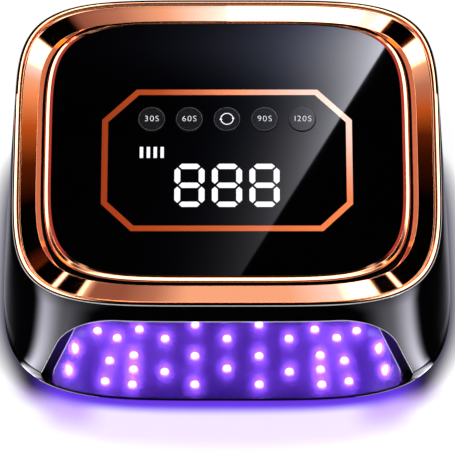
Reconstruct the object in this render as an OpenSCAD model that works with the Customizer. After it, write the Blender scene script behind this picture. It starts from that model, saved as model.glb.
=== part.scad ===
// Cordless nail lamp: a tunnel lined with light beads, under a tilted
// glass control panel with five push keys, on a lift-off tray.
// Origin at the centre of the footprint, on the surface it stands on.
// X is across, the mouth of the tunnel faces -Y, and Z is up.

/* [Footprint] */
// Width of the base on each side of the mouth
flank_w = 20.5; // [18:0.5:26]
// Depth of the base, front lip to rear
base_d = 180; // [172:1:200]
// Squareness of the base outline, a superellipse exponent
base_n = 4; // [3.6:0.1:5]
// Gap under the tray that the feet stand in
foot_gap = 0.6; // [0.4:0.1:1.5]
// Foot diameter
foot_d = 12; // [8:0.5:16]
// Depth that a foot is let into the tray
foot_sink = 0.4; // [0.2:0.1:0.6]
// Foot distance inwards from the mouth's side
foot_in_x = 11.5; // [8:0.5:30]
// Foot distance inwards from the front and the rear
foot_in_y = 30; // [24:1:50]

/* [Tray] */
// Thickness of the tray's floor
tray_floor_t = 1; // [0.8:0.1:1.6]
// Height of the line where the housing meets the tray
parting_z = 7; // [6.5:0.1:9]
// Gap between tray and housing at that line
parting_gap = 0.2; // [0.15:0.05:0.4]
// Width of the lip that keeps the floor mirror in place
lip_w = 2; // [2:0.1:5]
// Rise of the lip over the floor mirror
lip_rise = 0.2; // [0.1:0.1:0.6]
// Thickness of the floor mirror
mirror_t = 0.6; // [0.5:0.1:1]
// Radius of the tray's rolled lower edge
tray_edge_r = 2.4; // [1.5:0.1:3]

/* [Mouth and tunnel] */
// Width of the mouth at the parting line
mouth_w = 179; // [165:1:195]
// Height of the mouth's flat top
mouth_top_z = 51; // [47:0.5:52]
// Lean of the mouth's sides from upright, in degrees
mouth_lean = 19; // [12:0.5:24]
// Radius of the mouth's upper corners
mouth_r = 31; // [20:0.5:33]
// Radius of the mouth's lower corners
mouth_foot_r = 4; // [2:0.5:6]
// Wall of the collar behind the mouth
collar_t = 2.2; // [1.5:0.1:3]
// Step in from the mouth to the tunnel, at the sides
tunnel_step = 6; // [4:0.5:8]
// Height of the tunnel's ceiling
ceiling_z = 49; // [45:0.5:50]
// Radius of the tunnel's upper corners
tunnel_r = 9; // [6:0.5:14]
// Distance from the front of the base to the tunnel lining
front_room = 15; // [14:0.5:18]
// Distance from the tunnel's rear wall to the rear of the base
rear_room = 26; // [25:0.5:35]
// Wall of the tunnel lining
liner_t = 1.2; // [1:0.1:1.5]

/* [Housing] */
// Wall of the housing
wall = 2.5; // [2:0.1:3]
// Thickness of the deck under the panel
deck_t = 2.2; // [1.8:0.1:3]
// Depth of the panel's recess under the housing's rim
recess_d = 3.4; // [3:0.1:4]
// Thickness of the bottom cover
cover_t = 2; // [1.6:0.1:2.6]
// Diameter of the cover screws' posts
post_d = 7; // [6:0.5:8]
// Height of the cover screws' posts
post_h = 18; // [12:1:24]

/* [Panel] */
// Tilt of the control panel, rear edge higher, in degrees
tilt = 14; // [12:0.5:16]
// Height of the panel's centre
panel_z = 80; // [79:0.5:88]
// Shift of the panel's centre to the rear
panel_y = 1.5; // [-1:0.5:4]
// How far the housing draws in to the bezel ring, at each side
side_draw = 7.6; // [6:0.1:9]
// How far it draws in at the front and the rear, seen from above
end_draw = 10.15; // [8:0.05:12]
// Squareness of the panel's outlines at the sides
ring_n = 4.8; // [4:0.1:6]
// Squareness of the panel's outlines at front and rear
ring_m = 5; // [4:0.1:6]
// Height of the panel rim's crest over the bezel seat
rim_rise = 2.1; // [1.8:0.1:3]
// Height of the glass over the bezel seat
glass_rise = 1.3; // [1:0.1:1.6]
// Thickness of the glass panel
glass_t = 2.4; // [2:0.1:3]
// Depth of the inlays let into the glass
inlay_t = 0.6; // [0.4:0.1:1]

/* [Inlay and display] */
// Width of the octagon inlay
oct_w = 120; // [110:1:126]
// Rear edge of the octagon from the panel's centre
oct_rear = 32.4; // [30:0.2:40]
// Front edge of the octagon from the panel's centre
oct_front = 43.5; // [40:0.5:48]
// Corner cut of the octagon at the rear
oct_cut_rear = 16.5; // [10:0.5:20]
// Corner cut of the octagon at the front
oct_cut_front = 14.3; // [10:0.1:20]
// Width of the octagon's line
oct_line = 2.9; // [2:0.1:4]
// Width of one digit
digit_w = 14.4; // [12:0.2:16]
// Height of one digit
digit_h = 23; // [20:0.5:26]
// Distance from digit to digit
digit_pitch = 17.9; // [17:0.1:20]
// Centre of the digits, in front of the panel's centre
digit_y = 19.2; // [17:0.2:22]
// Width of a digit's bars
seg_w = 2.8; // [2:0.1:3.6]
// Gap between a digit's bars
seg_gap = 1.5; // [0.8:0.1:2]
// Width of one charge bar
bar_w = 1.6; // [1:0.1:2.4]
// Length of one charge bar
bar_l = 5.9; // [4:0.1:7]
// Distance from charge bar to charge bar
bar_pitch = 3.3; // [2.8:0.05:4]
// Centre of the charge bars, left of the panel's centre
bars_x = 36; // [34:0.5:40]
// Centre of the charge bars, in front of the panel's centre
bars_y = 1.6; // [0:0.2:3]

/* [Keys] */
// Diameter of a key
key_d = 13; // [11:0.1:14]
// Distance from key to key
key_pitch = 18.1; // [17.6:0.1:19]
// Centre of the keys behind the panel's centre
key_y = 16.1; // [15:0.1:18]
// Height of a key over the glass
key_rise = 0.8; // [0.7:0.1:1.2]
// Travel of a key
key_travel = 0.6; // [0.3:0.1:0.7]
// Clearance round a key
key_clear = 0.15; // [0.1:0.05:0.3]
// Width of the flange that keeps a key in
key_flange = 1; // [0.6:0.1:1.4]
// Thickness of that flange
key_flange_t = 0.8; // [0.6:0.1:1]

/* [Light beads] */
// Diameter of a light bead
bead_d = 4.8; // [4:0.1:5.4]
// How far a bead stands into the tunnel
bead_rise = 1.6; // [1:0.1:2]
// Clearance of a bead in its hole
bead_clear = 0.2; // [0.1:0.05:0.4]
// Thickness of the light boards
led_board_t = 1.6; // [1:0.1:2]

/* [Battery and boards] */
// Diameter of a battery cell
cell_d = 18.5; // [16:0.1:19]
// Length of a battery cell
cell_l = 65; // [60:0.5:66]
// Distance between the rows of cells
cell_pitch = 20.5; // [19.8:0.1:21.5]
// Centre of the battery in front of the tunnel's rear wall
battery_in = 18; // [14:0.5:20]
// Height of the cradle's floor over its feet
cradle_floor = 3; // [2:0.1:4]
// Depth of a cell in the cradle
cradle_grip = 7; // [4:0.5:8]
// Thickness of the circuit boards
board_t = 1.6; // [1:0.1:2]
// Height of a tactile switch
switch_h = 3.5; // [3:0.1:4]
// Width of a tactile switch
switch_w = 6; // [5:0.5:7]
// Width of the main board
main_w = 104; // [96:1:110]
// Height of the main board
main_h = 32; // [28:1:36]
// Height of the main board's lower edge
main_z = 13; // [11:0.5:16]
// Distance from the tunnel lining to the main board
main_gap = 8; // [7:0.5:9]

/* [Rear fittings] */
// Distance of the inlet and the switch from the centre line
fitting_x = 38; // [30:1:42]
// Height of the inlet and the switch
fitting_z = 24; // [20:0.5:30]
// Diameter of the charging inlet's body
jack_d = 11; // [9:0.5:12]
// Bore of the charging inlet
jack_bore_d = 6.4; // [5.6:0.1:7]
// Depth of that bore
jack_bore_l = 9.5; // [8:0.5:10]
// Diameter of the inlet's centre pin
jack_pin_d = 2.1; // [1.6:0.1:2.5]
// Diameter of the power button
power_d = 10; // [8:0.5:12]
// Height of the power button over the housing
power_rise = 1; // [0.9:0.1:1.4]
// Travel of the power button
power_travel = 0.8; // [0.4:0.1:0.9]
// Number of vent slots in each group
vent_count = 7; // [3:1:9]
// Width of a vent slot
vent_w = 1.8; // [1.2:0.1:2.4]
// Height of a vent slot
vent_h = 12; // [8:1:16]
// Distance from slot to slot
vent_pitch = 4; // [3.6:0.1:5]

/* [Fasteners and magnets] */
// Shank diameter of the cover screws
cover_screw_d = 2.9; // [2.2:0.1:3.5]
// Shank diameter of the board screws
board_screw_d = 2.2; // [1.8:0.1:2.6]
// Diameter of a magnet
magnet_d = 8; // [6:0.5:9]
// Thickness of a magnet
magnet_t = 2; // [1.5:0.1:3]
// Distance of the magnets outwards from the mouth's side
magnet_out = 4.5; // [3.5:0.5:5.5]
// Distance of the magnets inwards from the front and the rear
magnet_in = 32; // [30:0.5:40]
// Thickness of the steel keeper discs
keeper_t = 1; // [0.8:0.1:1.5]

/* [Hidden] */
$fn = 48;
eps = 0.01;
// Points round an outline, and round a corner arc
ring_pts = 120;
arc_pts = 10;
// Gap between pieces that are fixed to each other
seat = 0.05;
// Gap left all round a piece that drops into a pocket
ease = 0.15;

base_w = mouth_w + 2 * flank_w;
base_a = base_w / 2;
base_b = base_d / 2;
ring_a = base_a - side_draw;
ring_b = (base_b - end_draw) / cos(tilt);

// Heights of the tray
tray_z = foot_gap;
tray_floor_z = tray_z + tray_floor_t;
mirror_z = tray_floor_z + mirror_t;
lip_z = mirror_z + lip_rise;
housing_z = parting_z + parting_gap;
cover_z = housing_z + ease;
cover_top_z = cover_z + cover_t;

// Levels of the panel, measured along its normal from the bezel seat
deck_w = -recess_d;
deck_low_w = deck_w - deck_t;
glass_w = glass_rise;
glass_low_w = glass_w - glass_t;
carrier_w = glass_low_w - seat;
carrier_low_w = deck_w + seat;
flange_w = glass_low_w - 2 * seat;
flange_low_w = flange_w - key_flange_t;
stem_len = 1;
stem_d = 5;
stem_low_w = flange_low_w - stem_len;
plunger_w = stem_low_w - key_travel - 2 * ease;
plunger_h = 0.5;
switch_w_top = plunger_w - plunger_h;
board_w = switch_w_top - switch_h;
board_low_w = board_w - board_t;

// Outlines on the panel: half width, half depth and shift to the rear.
// The rim narrows towards the rear, so the inner outlines shift.
crest_in = 1.7;
valley_in = 3.4;
band_in = 3.8;
band_w_side = 7.4;
band_w_end = 8.5;
slope_side = 2.5;
slope_end = 0.5;
seal_side = 1.2;
seal_end = 0.8;
rim_top = 1.4;
rim_end = 0.9;
rim_bevel_side = 1.8;
rim_bevel_end = 1.2;
outer_o = [ring_a, ring_b, 0];
crest_o = [ring_a - crest_in, ring_b - 0.8 * crest_in, -0.1];
valley_o = [ring_a - valley_in, ring_b - 0.7 * valley_in, -0.5];
band_o = [ring_a - band_in, ring_b - 0.7 * band_in, -0.7];
slope_o = [band_o.x - band_w_side, band_o.y - band_w_end, -1];
groove_o = [slope_o.x - slope_side, slope_o.y - slope_end, -0.9];
rim_o = [groove_o.x - seal_side, groove_o.y - seal_end, -0.6];
rim_top_o = [rim_o.x - rim_top, rim_o.y - rim_end, -0.1];
glass_o = [rim_top_o.x - rim_bevel_side, rim_top_o.y - rim_bevel_end, 0.7];
recess_o = [ring_a - wall - 0.2, ring_b - wall - 0.2, 0];
carrier_o = [glass_o.x - 2 * ease, glass_o.y - 2 * ease, glass_o.z];
band_w0 = 0.8;
band_w1 = 1.25;
crest_w = 1.5;
groove_w = -1.4;
seal_w = -1.2;

// Half width of the mouth and the tunnel at the parting line
mouth_half = mouth_w / 2;
tunnel_half = mouth_half - tunnel_step;
tunnel_front_y = front_room - base_b;
tunnel_back_y = base_b - rear_room;
collar_back_y = tunnel_front_y - seat;
liner_top_z = ceiling_z + liner_t;
ceiling_board_z = liner_top_z + seat;
ceiling_board_top_z = ceiling_board_z + led_board_t;

// Light beads on the right half of the ceiling, from its middle, and the
// rows along its centre line. They are drawn for a tunnel of this size and
// spread out with it.
spots_half = 83.5;
spots_run = 139;
spread_x = tunnel_half / spots_half;
spread_y = (tunnel_back_y - tunnel_front_y) / spots_run;
tunnel_mid_y = (tunnel_back_y + tunnel_front_y) / 2;
ceiling_spots = [
  [47, -38.5], [60.5, -36.5], [46.5, -29], [58.5, -23.5], [46.5, -20],
  [55, -9], [31, -9.5], [65, -4.5], [44, -3.5], [31, -30.5], [16, -38.5],
  [16, -20.5], [16, -0.5], [60, 13.5], [40, 15.5], [63, 31.5], [46, 33.5],
  [24, 17.5], [29, 37.5], [55, 49.5], [36, 53.5]
];
centre_rows = [-28.5, -9.5, 9.5, 29.5, 49.5];
// Light beads on each side wall, as distance from the middle and height
side_spots = [[-48.5, 24], [-29.5, 31], [-6.5, 24], [17.5, 31], [41.5, 24]];
// Light beads on the rear wall, as distance across, and their height
rear_spots = [-48, -16, 16, 48];
rear_spot_z = 28;

// Places that follow the tunnel, the base and the mouth
battery_y = tunnel_back_y - battery_in;
foot_x = mouth_half - foot_in_x;
foot_y = base_b - foot_in_y;
magnet_x = mouth_half + magnet_out;
magnet_y = base_b - magnet_in;
// Cover screws: two rows at the sides, and one pair at the rear
cover_post_front = 48 - base_b;
cover_post_back = base_b - 50;
cover_post_rear_x = mouth_half - 25.5;

// Places that follow the housing
main_y = tunnel_back_y + main_gap;
main_rear_y = main_y + board_t;

// Control board, its posts and the well that it hangs in
post_in = 6;
board_half = oct_w / 2 - 1;
board_rear = oct_rear;
board_front = oct_front;
well_half = board_half + 4;
well_rear = board_rear + 4;
well_front = board_front + 4;
display_edge = 2.4;
flange_d = key_d + 2 * key_flange;
key_bevel = 0.4;
plunger_d = 3.4;
screw_head_t = 1.2;
board_screw_l = 5;
cover_screw_l = 12;
post_bury = 1.5;

// Tray and cover details
mirror_half = lean_x(tunnel_half, lip_z) - 1;
keeper_d = magnet_d + 2;
magnet_sink = 0.8;
// A level under everything, for shapes that run out at the bottom
below = -6;

// Light boards
side_mid_z = 27.5;
side_board_h = 18;
spot_edge = 7;
ceiling_board_half = spread_x * 65 + 4;
sensor_x = 9;
sensor_y = tunnel_front_y + 15;
sensor_d = 5;
sensor_rise = 0.5;

// Battery pack
cell_gap = 1;
cradle_z = ceiling_board_top_z + seat;
cell_z = cradle_z + cradle_floor + cell_d / 2;
cradle_half = cell_l + 2.5;
cradle_deep = (cell_pitch + cell_d) / 2 + 1.5;

// Rear fittings
main_post_x = 28;
main_post_z = main_z + main_h - 6;
cap_d = 8;
cap_l = 9;
cap_pitch = 12;
choke_d = 11;
choke_l = 6;
choke_x = 19;
chip_w = 9;
chip_t = 3;
power_wall = 1.5;
sleeve_y = rear_y(fitting_x, wall, fitting_z) - 2.5;
power_flange_t = 1.2;
power_y = rear_y(fitting_x, 0, fitting_z) + power_rise;
switch_y = sleeve_y - seat - power_flange_t - power_travel - 0.3 - 1;
jack_y = rear_y(fitting_x, 0, fitting_z) - 0.8;
vent_x = 30;
vent_z = 62;
vent_y = rear_y(fitting_x, wall, vent_z + vent_h) - 2;

// Wires: from the cells, the control board and the light boards to pads on
// the main board
wire_d = 1.6;
// Ball at a bend, wide enough to cover both ends that meet in it
bend_d = 1.5 * wire_d;
pad_x = main_w / 2 - 6;
pad_z = main_z + main_h - 3;
panel_wire_x = 20;
wire_y = main_y - 3;
cell_end = cell_l + cell_gap / 2 + seat;
cell_top_z = cell_z + cell_d / 2;
cradle_front = battery_y - cradle_deep;
function to_pad(x, z) = [[x, wire_y, z], [x, main_y - seat, z]];
wires = [
  concat(
    [for (x = [0, 5]) [cell_end + x, battery_y + cell_pitch / 2, cell_z]],
    [[cell_end + 5, wire_y, cell_z - 10]],
    to_pad(pad_x, pad_z)
  ),
  concat(
    [for (x = [0, 9]) [cell_end + x, battery_y - cell_pitch / 2, cell_z]],
    [[cell_end + 9, wire_y, cell_z - 2], [pad_x - 8, wire_y, pad_z + 6]],
    to_pad(pad_x - 8, pad_z)
  ),
  concat(
    [for (w = [seat, 3]) panel_pt([panel_wire_x, board_rear - 4], board_low_w - w)],
    [for (p = [[battery_y, 3.5], [wire_y - 1, 2.6]]) [panel_wire_x, p.x, cell_top_z + p.y]],
    to_pad(panel_wire_x, pad_z)
  ),
  concat(
    [for (z = [seat, 3]) [-60, cradle_front - 3, ceiling_board_top_z + z]],
    [for (y = [cradle_front - 3, wire_y]) [-cradle_half - 7, y, ceiling_board_top_z + 3]],
    to_pad(-pad_x, pad_z)
  ),
  concat(
    [for (y = [tunnel_back_y + liner_t + led_board_t + 2 * seat, wire_y])
      [10 - pad_x, y, rear_spot_z + 4]],
    to_pad(10 - pad_x, pad_z - 4)
  )
];

// A superellipse point: a and b are half sizes, n and m the exponents
function power_of(c, e) = sign(c) * pow(abs(c), e);
function oval(a, b, n, m, t) = [a * power_of(cos(t), 2 / n), b * power_of(sin(t), 2 / m)];
function lerp(p, q, s) = p + (q - p) * s;
function turn(i) = 360 * i / ring_pts;

// A point of the panel in the part's frame, and a point's level over it
function panel_pt(p, w) = [
  p.x,
  panel_y + p.y * cos(tilt) - w * sin(tilt),
  panel_z + p.y * sin(tilt) + w * cos(tilt)
];
function level(p) = (p.z - panel_z) * cos(tilt) - (p.y - panel_y) * sin(tilt);
function outline(o, t) = oval(o.x, o.y, ring_n, ring_m, t) + [0, o.z];

// The housing's outer wall runs straight from the base outline to the
// bezel seat; inset moves both ends inwards
function base_pt(t, inset) = concat(oval(base_a - inset, base_b - inset, base_n, base_n, t), 0);
function seat_pt(t, inset) = panel_pt(oval(ring_a - inset, ring_b - inset, ring_n, ring_m, t), 0);
function wall_at_z(t, inset, z) =
  let(p = base_pt(t, inset), q = seat_pt(t, inset)) lerp(p, q, z / q.z);
function wall_at_w(t, inset, w) =
  let(p = base_pt(t, inset), q = seat_pt(t, inset)) lerp(p, q, 1 - w / level(p));
function wall_ring_z(inset, z) = [for (i = [0:ring_pts - 1]) wall_at_z(turn(i), inset, z)];
function wall_ring_w(inset, w) = [for (i = [0:ring_pts - 1]) wall_at_w(turn(i), inset, w)];

// Rear wall of the housing at a place across and a height
function rear_y(x, inset, z) =
  let(
    s = z / seat_pt(90, inset).z,
    a = lerp(base_a - inset, ring_a - inset, s),
    b = lerp(base_b - inset, panel_y + (ring_b - inset) * cos(tilt), s)
  )
  b * pow(1 - pow(abs(x) / a, base_n), 1 / base_n);
// Side wall of the housing at a place along and a height
function side_wall_x(y, inset, z) =
  let(
    s = z / panel_z,
    a = lerp(base_a - inset, ring_a - inset, s),
    b = lerp(base_b - inset, ring_b - inset, s)
  )
  a * pow(1 - pow(abs(y) / b, base_n), 1 / base_n);

// Outline of the mouth or the tunnel: a flat top, leaning sides and
// rounded corners, grown outwards by grow
function lean_x(half, z) = half - (z - parting_z) * tan(mouth_lean);
function arc_run(cx, cz, r, a0, a1) =
  [for (i = [0:arc_pts]) let(a = lerp(a0, a1, i / arc_pts)) [cx + r * cos(a), cz + r * sin(a)]];
function right_side(half, top, r, low, foot_r) =
  let(
    reach = 1 / cos(mouth_lean),
    lz = low + foot_r,
    tz = top - r
  )
  concat(
    arc_run(lean_x(half, lz) - foot_r * reach, lz, foot_r, -90, mouth_lean),
    arc_run(lean_x(half, tz) - r * reach, tz, r, mouth_lean, 90)
  );
function tunnel_outline(half, top, r, low, foot_r, grow = 0) =
  let(
    wide = half + grow / cos(mouth_lean),
    pts = right_side(wide, top + grow, r + grow, low, foot_r),
    n = len(pts)
  )
  concat(pts, [for (i = [n - 1:-1:0]) [-pts[i].x, pts[i].y]]);
function mouth_shape(grow = 0, low = lip_z, foot_r = mouth_foot_r) =
  tunnel_outline(mouth_half, mouth_top_z, mouth_r, low, foot_r, grow);
function tunnel_shape(grow = 0, low = lip_z, foot_r = 0.5) =
  tunnel_outline(tunnel_half, ceiling_z, tunnel_r, low, foot_r, grow);

// Closed solid through a list of rings with equal counts of points
module loft(rings) {
  n = len(rings[0]);
  last = len(rings) - 1;
  polyhedron(
    points = [for (r = rings) each r],
    faces = concat(
      [[for (i = [0:n - 1]) i]],
      [for (k = [0:last - 1]) for (i = [0:n - 1])
        let(j = (i + 1) % n, p = k * n)
        each [[p + i, p + n + i, p + n + j], [p + i, p + n + j, p + j]]],
      [[for (i = [n - 1:-1:0]) last * n + i]]
    )
  );
}
// Closed band through rings that follow one section round the panel
module ring_band(section) {
  n = ring_pts;
  m = len(section);
  polyhedron(
    points = [for (s = section) for (i = [0:n - 1]) panel_pt(outline(s[0], turn(i)), s[1])],
    faces = [for (k = [0:m - 1]) for (i = [0:n - 1])
      let(j = (i + 1) % n, p = k * n, q = ((k + 1) % m) * n)
      each [[p + i, q + i, q + j], [p + i, q + j, p + j]]]
  );
}
module body_solid(inset, low_z, top_w) {
  loft([wall_ring_z(inset, low_z), wall_ring_w(inset, top_w)]);
}
module on_panel() {
  translate([0, panel_y, panel_z]) rotate([tilt, 0, 0]) children();
}
// Plate on the panel between two levels, with an outline o
module panel_plate(o, low, high) {
  on_panel() translate([0, 0, low]) linear_extrude(high - low)
    polygon([for (i = [0:ring_pts - 1]) outline(o, turn(i))]);
}
module tunnel(shape, y0, y1) {
  translate([0, y1, 0]) rotate([90, 0, 0]) linear_extrude(y1 - y0) polygon(shape);
}
module both_sides() {
  children();
  mirror([1, 0, 0]) children();
}
module four_corners(x, y) {
  for (sx = [-1, 1], sy = [-1, 1]) translate([sx * x, sy * y, 0]) children();
}
module rod_y(x, z, y0, y1, d) {
  translate([x, y1, z]) rotate([90, 0, 0]) cylinder(h = y1 - y0, d = d);
}
module screw(shank_d, shank_l, head_d, head_t) {
  translate([0, 0, -head_t]) cylinder(h = head_t, d = head_d);
  translate([0, 0, -eps]) cylinder(h = shank_l + eps, d = shank_d);
}

module side_frame() {
  both_sides() translate([lean_x(tunnel_half, side_mid_z), 0, side_mid_z])
    rotate([0, -mouth_lean, 0]) children();
}
function along(y) = tunnel_mid_y + spread_y * y;
module at_ceiling_spots() {
  both_sides() for (p = ceiling_spots) translate([spread_x * p.x, along(p.y), 0]) children();
  for (y = centre_rows) translate([0, along(y), 0]) children();
}
module at_side_spots() {
  side_frame() for (p = side_spots)
    translate([0, along(p.x), (p.y - side_mid_z) / cos(mouth_lean)]) children();
}
module at_rear_spots() {
  for (x = rear_spots) translate([spread_x * x, tunnel_back_y, rear_spot_z]) children();
}
module at_keys() {
  for (k = [0:4]) at_key(k) children();
}
module at_key(k) {
  on_panel() translate([(k - 2) * key_pitch, key_y, 0]) children();
}
module at_board_posts() {
  on_panel() for (sx = [-1, 1], y = [board_rear - post_in, post_in - board_front])
    translate([sx * (board_half - post_in), y, 0]) children();
}
module at_cover_posts() {
  both_sides() {
    for (y = [cover_post_front, cover_post_back])
      translate([side_wall_x(y, wall, post_h) - post_d / 2 + post_bury, y, 0]) children();
    translate([cover_post_rear_x, rear_y(cover_post_rear_x, wall, post_h) - post_d / 2 + post_bury, 0])
      children();
  }
}
module at_main_posts() {
  for (sx = [-1, 1]) translate([sx * main_post_x, 0, main_post_z]) children();
}

// Tray with the lamp's floor: it stays behind when the lamp is lifted
module base_tray() color("#151517") difference() {
  loft(concat(
    [for (i = [0:4]) let(a = 90 * i / 4)
      wall_ring_z(tray_edge_r * (1 - sin(a)), tray_z + tray_edge_r * (1 - cos(a)))],
    [wall_ring_z(0, parting_z)]
  ));
  tunnel(mouth_shape(), -base_b - 1, tunnel_front_y);
  tunnel(tunnel_shape(), tunnel_front_y - 1, tunnel_back_y + ease);
  floor_plate(lip_w, mirror_half + ease, tunnel_back_y + ease, tray_floor_z, lip_z + eps);
  four_corners(foot_x, foot_y)
    translate([0, 0, -eps]) cylinder(h = foot_gap + foot_sink + eps, d = foot_d + 2 * seat);
  four_corners(magnet_x, magnet_y)
    translate([0, 0, parting_z - keeper_t]) cylinder(h = keeper_t + 1, d = keeper_d + 2 * seat);
}
// Flat piece that follows the base outline in front and the tunnel behind
module floor_plate(inset, half, back, low, high) {
  intersection() {
    translate([0, 0, low]) linear_extrude(high - low)
      polygon([for (p = wall_ring_z(inset, lip_z)) [p.x, p.y]]);
    translate([-half, -base_d, low]) cube([2 * half, base_d + back, high - low]);
  }
}
module floor_mirror() color("#c8c6d2")
  floor_plate(lip_w + ease, mirror_half, tunnel_back_y, tray_floor_z, mirror_z);
module rubber_feet() color("#26262a")
  four_corners(foot_x, foot_y) cylinder(h = foot_gap + foot_sink, d = foot_d);
module keeper_discs() color("#b9bcc0")
  four_corners(magnet_x, magnet_y)
    translate([0, 0, parting_z - keeper_t]) cylinder(h = keeper_t - seat, d = keeper_d);

// Housing: outer shell, deck under the panel, collar behind the mouth
module upper_housing() color("#111113") difference() {
  body_solid(0, housing_z, 0);
  difference() {
    body_solid(wall, housing_z - 1, deck_low_w);
    tunnel(mouth_shape(collar_t), -base_b, collar_back_y);
    at_cover_posts() translate([0, 0, cover_top_z + seat]) cylinder(h = post_h, d = post_d);
    at_main_posts() rod_y(0, 0, main_rear_y + seat, base_b, post_d - 1);
    rod_y(-fitting_x, fitting_z, sleeve_y, base_b, power_d + 4 * power_wall);
  }
  tunnel(mouth_shape(), -base_b - 1, tunnel_front_y + liner_t + 2 * ease);
  panel_plate(recess_o, deck_w, crest_w);
  on_panel() translate([-well_half, -well_front, deck_low_w - 1])
    cube([2 * well_half, well_front + well_rear, deck_t + 2]);
  at_cover_posts() translate([0, 0, housing_z])
    cylinder(h = cover_screw_l + 1, d = cover_screw_d + 2 * seat);
  at_main_posts() rod_y(0, 0, main_rear_y, main_rear_y + board_screw_l, board_screw_d + 2 * seat);
  rod_y(-fitting_x, fitting_z, main_rear_y, base_b + 1, power_d + 2 * key_clear);
  rod_y(fitting_x, fitting_z, main_rear_y, base_b + 1, jack_d + 2 * seat);
  both_sides() vent_slots();
}
module vent_slots() {
  for (k = [0:vent_count - 1]) let(x = vent_x + (k - (vent_count - 1) / 2) * vent_pitch) {
    translate([x - vent_w / 2, vent_y, vent_z - vent_h / 2]) cube([vent_w, base_b - vent_y, vent_h]);
    for (s = [-1, 1]) rod_y(x, vent_z + s * vent_h / 2, vent_y, base_b, vent_w);
  }
}

// Rose metal ring: rolled outer edge, flat band, and a slope into the groove
module bezel_ring() color("#d9855c") ring_band([
  [outer_o, seat],
  [outer_o, 0.5],
  [lerp(outer_o, crest_o, 0.45), 1.2],
  [crest_o, crest_w],
  [lerp(crest_o, valley_o, 0.6), 1.25],
  [valley_o, 0.95],
  [band_o, band_w0],
  [slope_o, band_w1],
  [groove_o, groove_w],
  [groove_o, deck_w + seat],
  [recess_o - [seat, seat, 0], deck_w + seat],
  [recess_o - [seat, seat, 0], seat]
]);
module bezel_seal() color("#0a0a0a") ring_band([
  [groove_o - [seat, seat, 0], deck_w + seat],
  [groove_o - [seat, seat, 0], seal_w],
  [rim_o + [seat, seat, 0], seal_w],
  [rim_o + [seat, seat, 0], deck_w + seat]
]);
module panel_rim() color("#e8a583") ring_band([
  [rim_o, deck_w + seat],
  [rim_o, rim_rise - 0.6],
  [lerp(rim_o, rim_top_o, 0.25), rim_rise - 0.1],
  [lerp(rim_o, rim_top_o, 0.6), rim_rise],
  [rim_top_o, rim_rise - 0.1],
  [glass_o + [seat, seat, 0], glass_w + 0.1],
  [glass_o + [seat, seat, 0], deck_w + seat]
]);

// Glass with its key holes and the pockets for the inlays
module glass_panel() color("#08080c") difference() {
  panel_plate(glass_o, glass_low_w, glass_w);
  at_keys() translate([0, 0, glass_low_w - 1]) cylinder(h = glass_t + 2, d = key_d + 2 * key_clear);
  on_panel() translate([0, 0, glass_w - inlay_t]) linear_extrude(1) {
    octagon_line();
    digits();
    bars();
  }
}
function octagon_pts(l) =
  let(
    h = oct_w / 2 - l,
    r = oct_rear - l,
    f = oct_front - l,
    cr = oct_cut_rear - (2 - sqrt(2)) * l,
    cf = oct_cut_front - (2 - sqrt(2)) * l
  )
  [[h - cr, r], [cr - h, r], [-h, r - cr], [-h, cf - f],
   [cf - h, -f], [h - cf, -f], [h, cf - f], [h, r - cr]];
module octagon_line() {
  difference() {
    polygon(octagon_pts(0));
    polygon(octagon_pts(oct_line));
  }
}
// One bar of a digit, lying across, with pointed ends
module digit_bar(span) {
  l = span / 2 - seg_gap / 2;
  h = seg_w / 2;
  polygon([[-l, 0], [h - l, -h], [l - h, -h], [l, 0], [l - h, h], [h - l, h]]);
}
module digit() {
  across = digit_w - seg_w;
  up = (digit_h - seg_w) / 2;
  for (k = [-1:1]) translate([0, k * up]) digit_bar(across);
  for (sx = [-1, 1], sy = [-1, 1])
    translate([sx * across / 2, sy * up / 2]) rotate(90) digit_bar(up);
}
module digits() {
  for (k = [-1:1]) translate([k * digit_pitch, -digit_y]) digit();
}
module bars() {
  for (k = [0:3]) translate([(k - 1.5) * bar_pitch - bars_x, -bars_y])
    square([bar_w, bar_l], center = true);
}
module inlay() {
  on_panel() translate([0, 0, glass_w - inlay_t]) linear_extrude(inlay_t) children();
}
module octagon_inlay() color("#e07a48") inlay() octagon_line();
module digit_segments() color("white") inlay() digits();
module charge_bars() color("white") inlay() bars();

// Frame under the glass that carries the control board
module panel_carrier() color("#1c1c20") difference() {
  union() {
    panel_plate(carrier_o, carrier_low_w, carrier_w);
    at_board_posts() translate([0, 0, board_w + seat])
      cylinder(h = carrier_low_w - board_w, d = post_d - 1);
  }
  at_keys() translate([0, 0, carrier_low_w - 1]) cylinder(h = recess_d + 2, d = flange_d + 4 * key_clear);
  on_panel() translate([0, -digit_y, 0]) display_block(2 * ease, carrier_low_w - 1, glass_low_w + 1);
  on_panel() translate([-bars_x, -bars_y, 0]) bar_block(2 * ease, carrier_low_w - 1, glass_low_w + 1);
  at_board_posts() translate([0, 0, board_w]) cylinder(h = board_screw_l, d = board_screw_d + 2 * seat);
}
module block(w, d, low, high) {
  translate([-w / 2, -d / 2, low]) cube([w, d, high - low]);
}
module display_block(grow, low, high) {
  block(2 * digit_pitch + digit_w + 2 * (display_edge + grow),
        digit_h + 2 * (display_edge + grow), low, high);
}
module bar_block(grow, low, high) {
  block(3 * bar_pitch + bar_w + 2 * (display_edge / 2 + grow),
        bar_l + 2 * (display_edge / 2 + grow), low, high);
}
module display_module() color("#d8d8d4") on_panel() {
  translate([0, -digit_y, 0]) display_block(0, board_w + seat, glass_low_w - seat);
  translate([-bars_x, -bars_y, 0]) bar_block(0, board_w + seat, glass_low_w - seat);
}
module control_board() color("#1d5a3a") difference() {
  on_panel() translate([-board_half, -board_front, board_low_w])
    cube([2 * board_half, board_front + board_rear, board_t]);
  at_board_posts() translate([0, 0, board_low_w - 1]) cylinder(h = board_t + 2, d = board_screw_d + 4 * seat);
}
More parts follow.
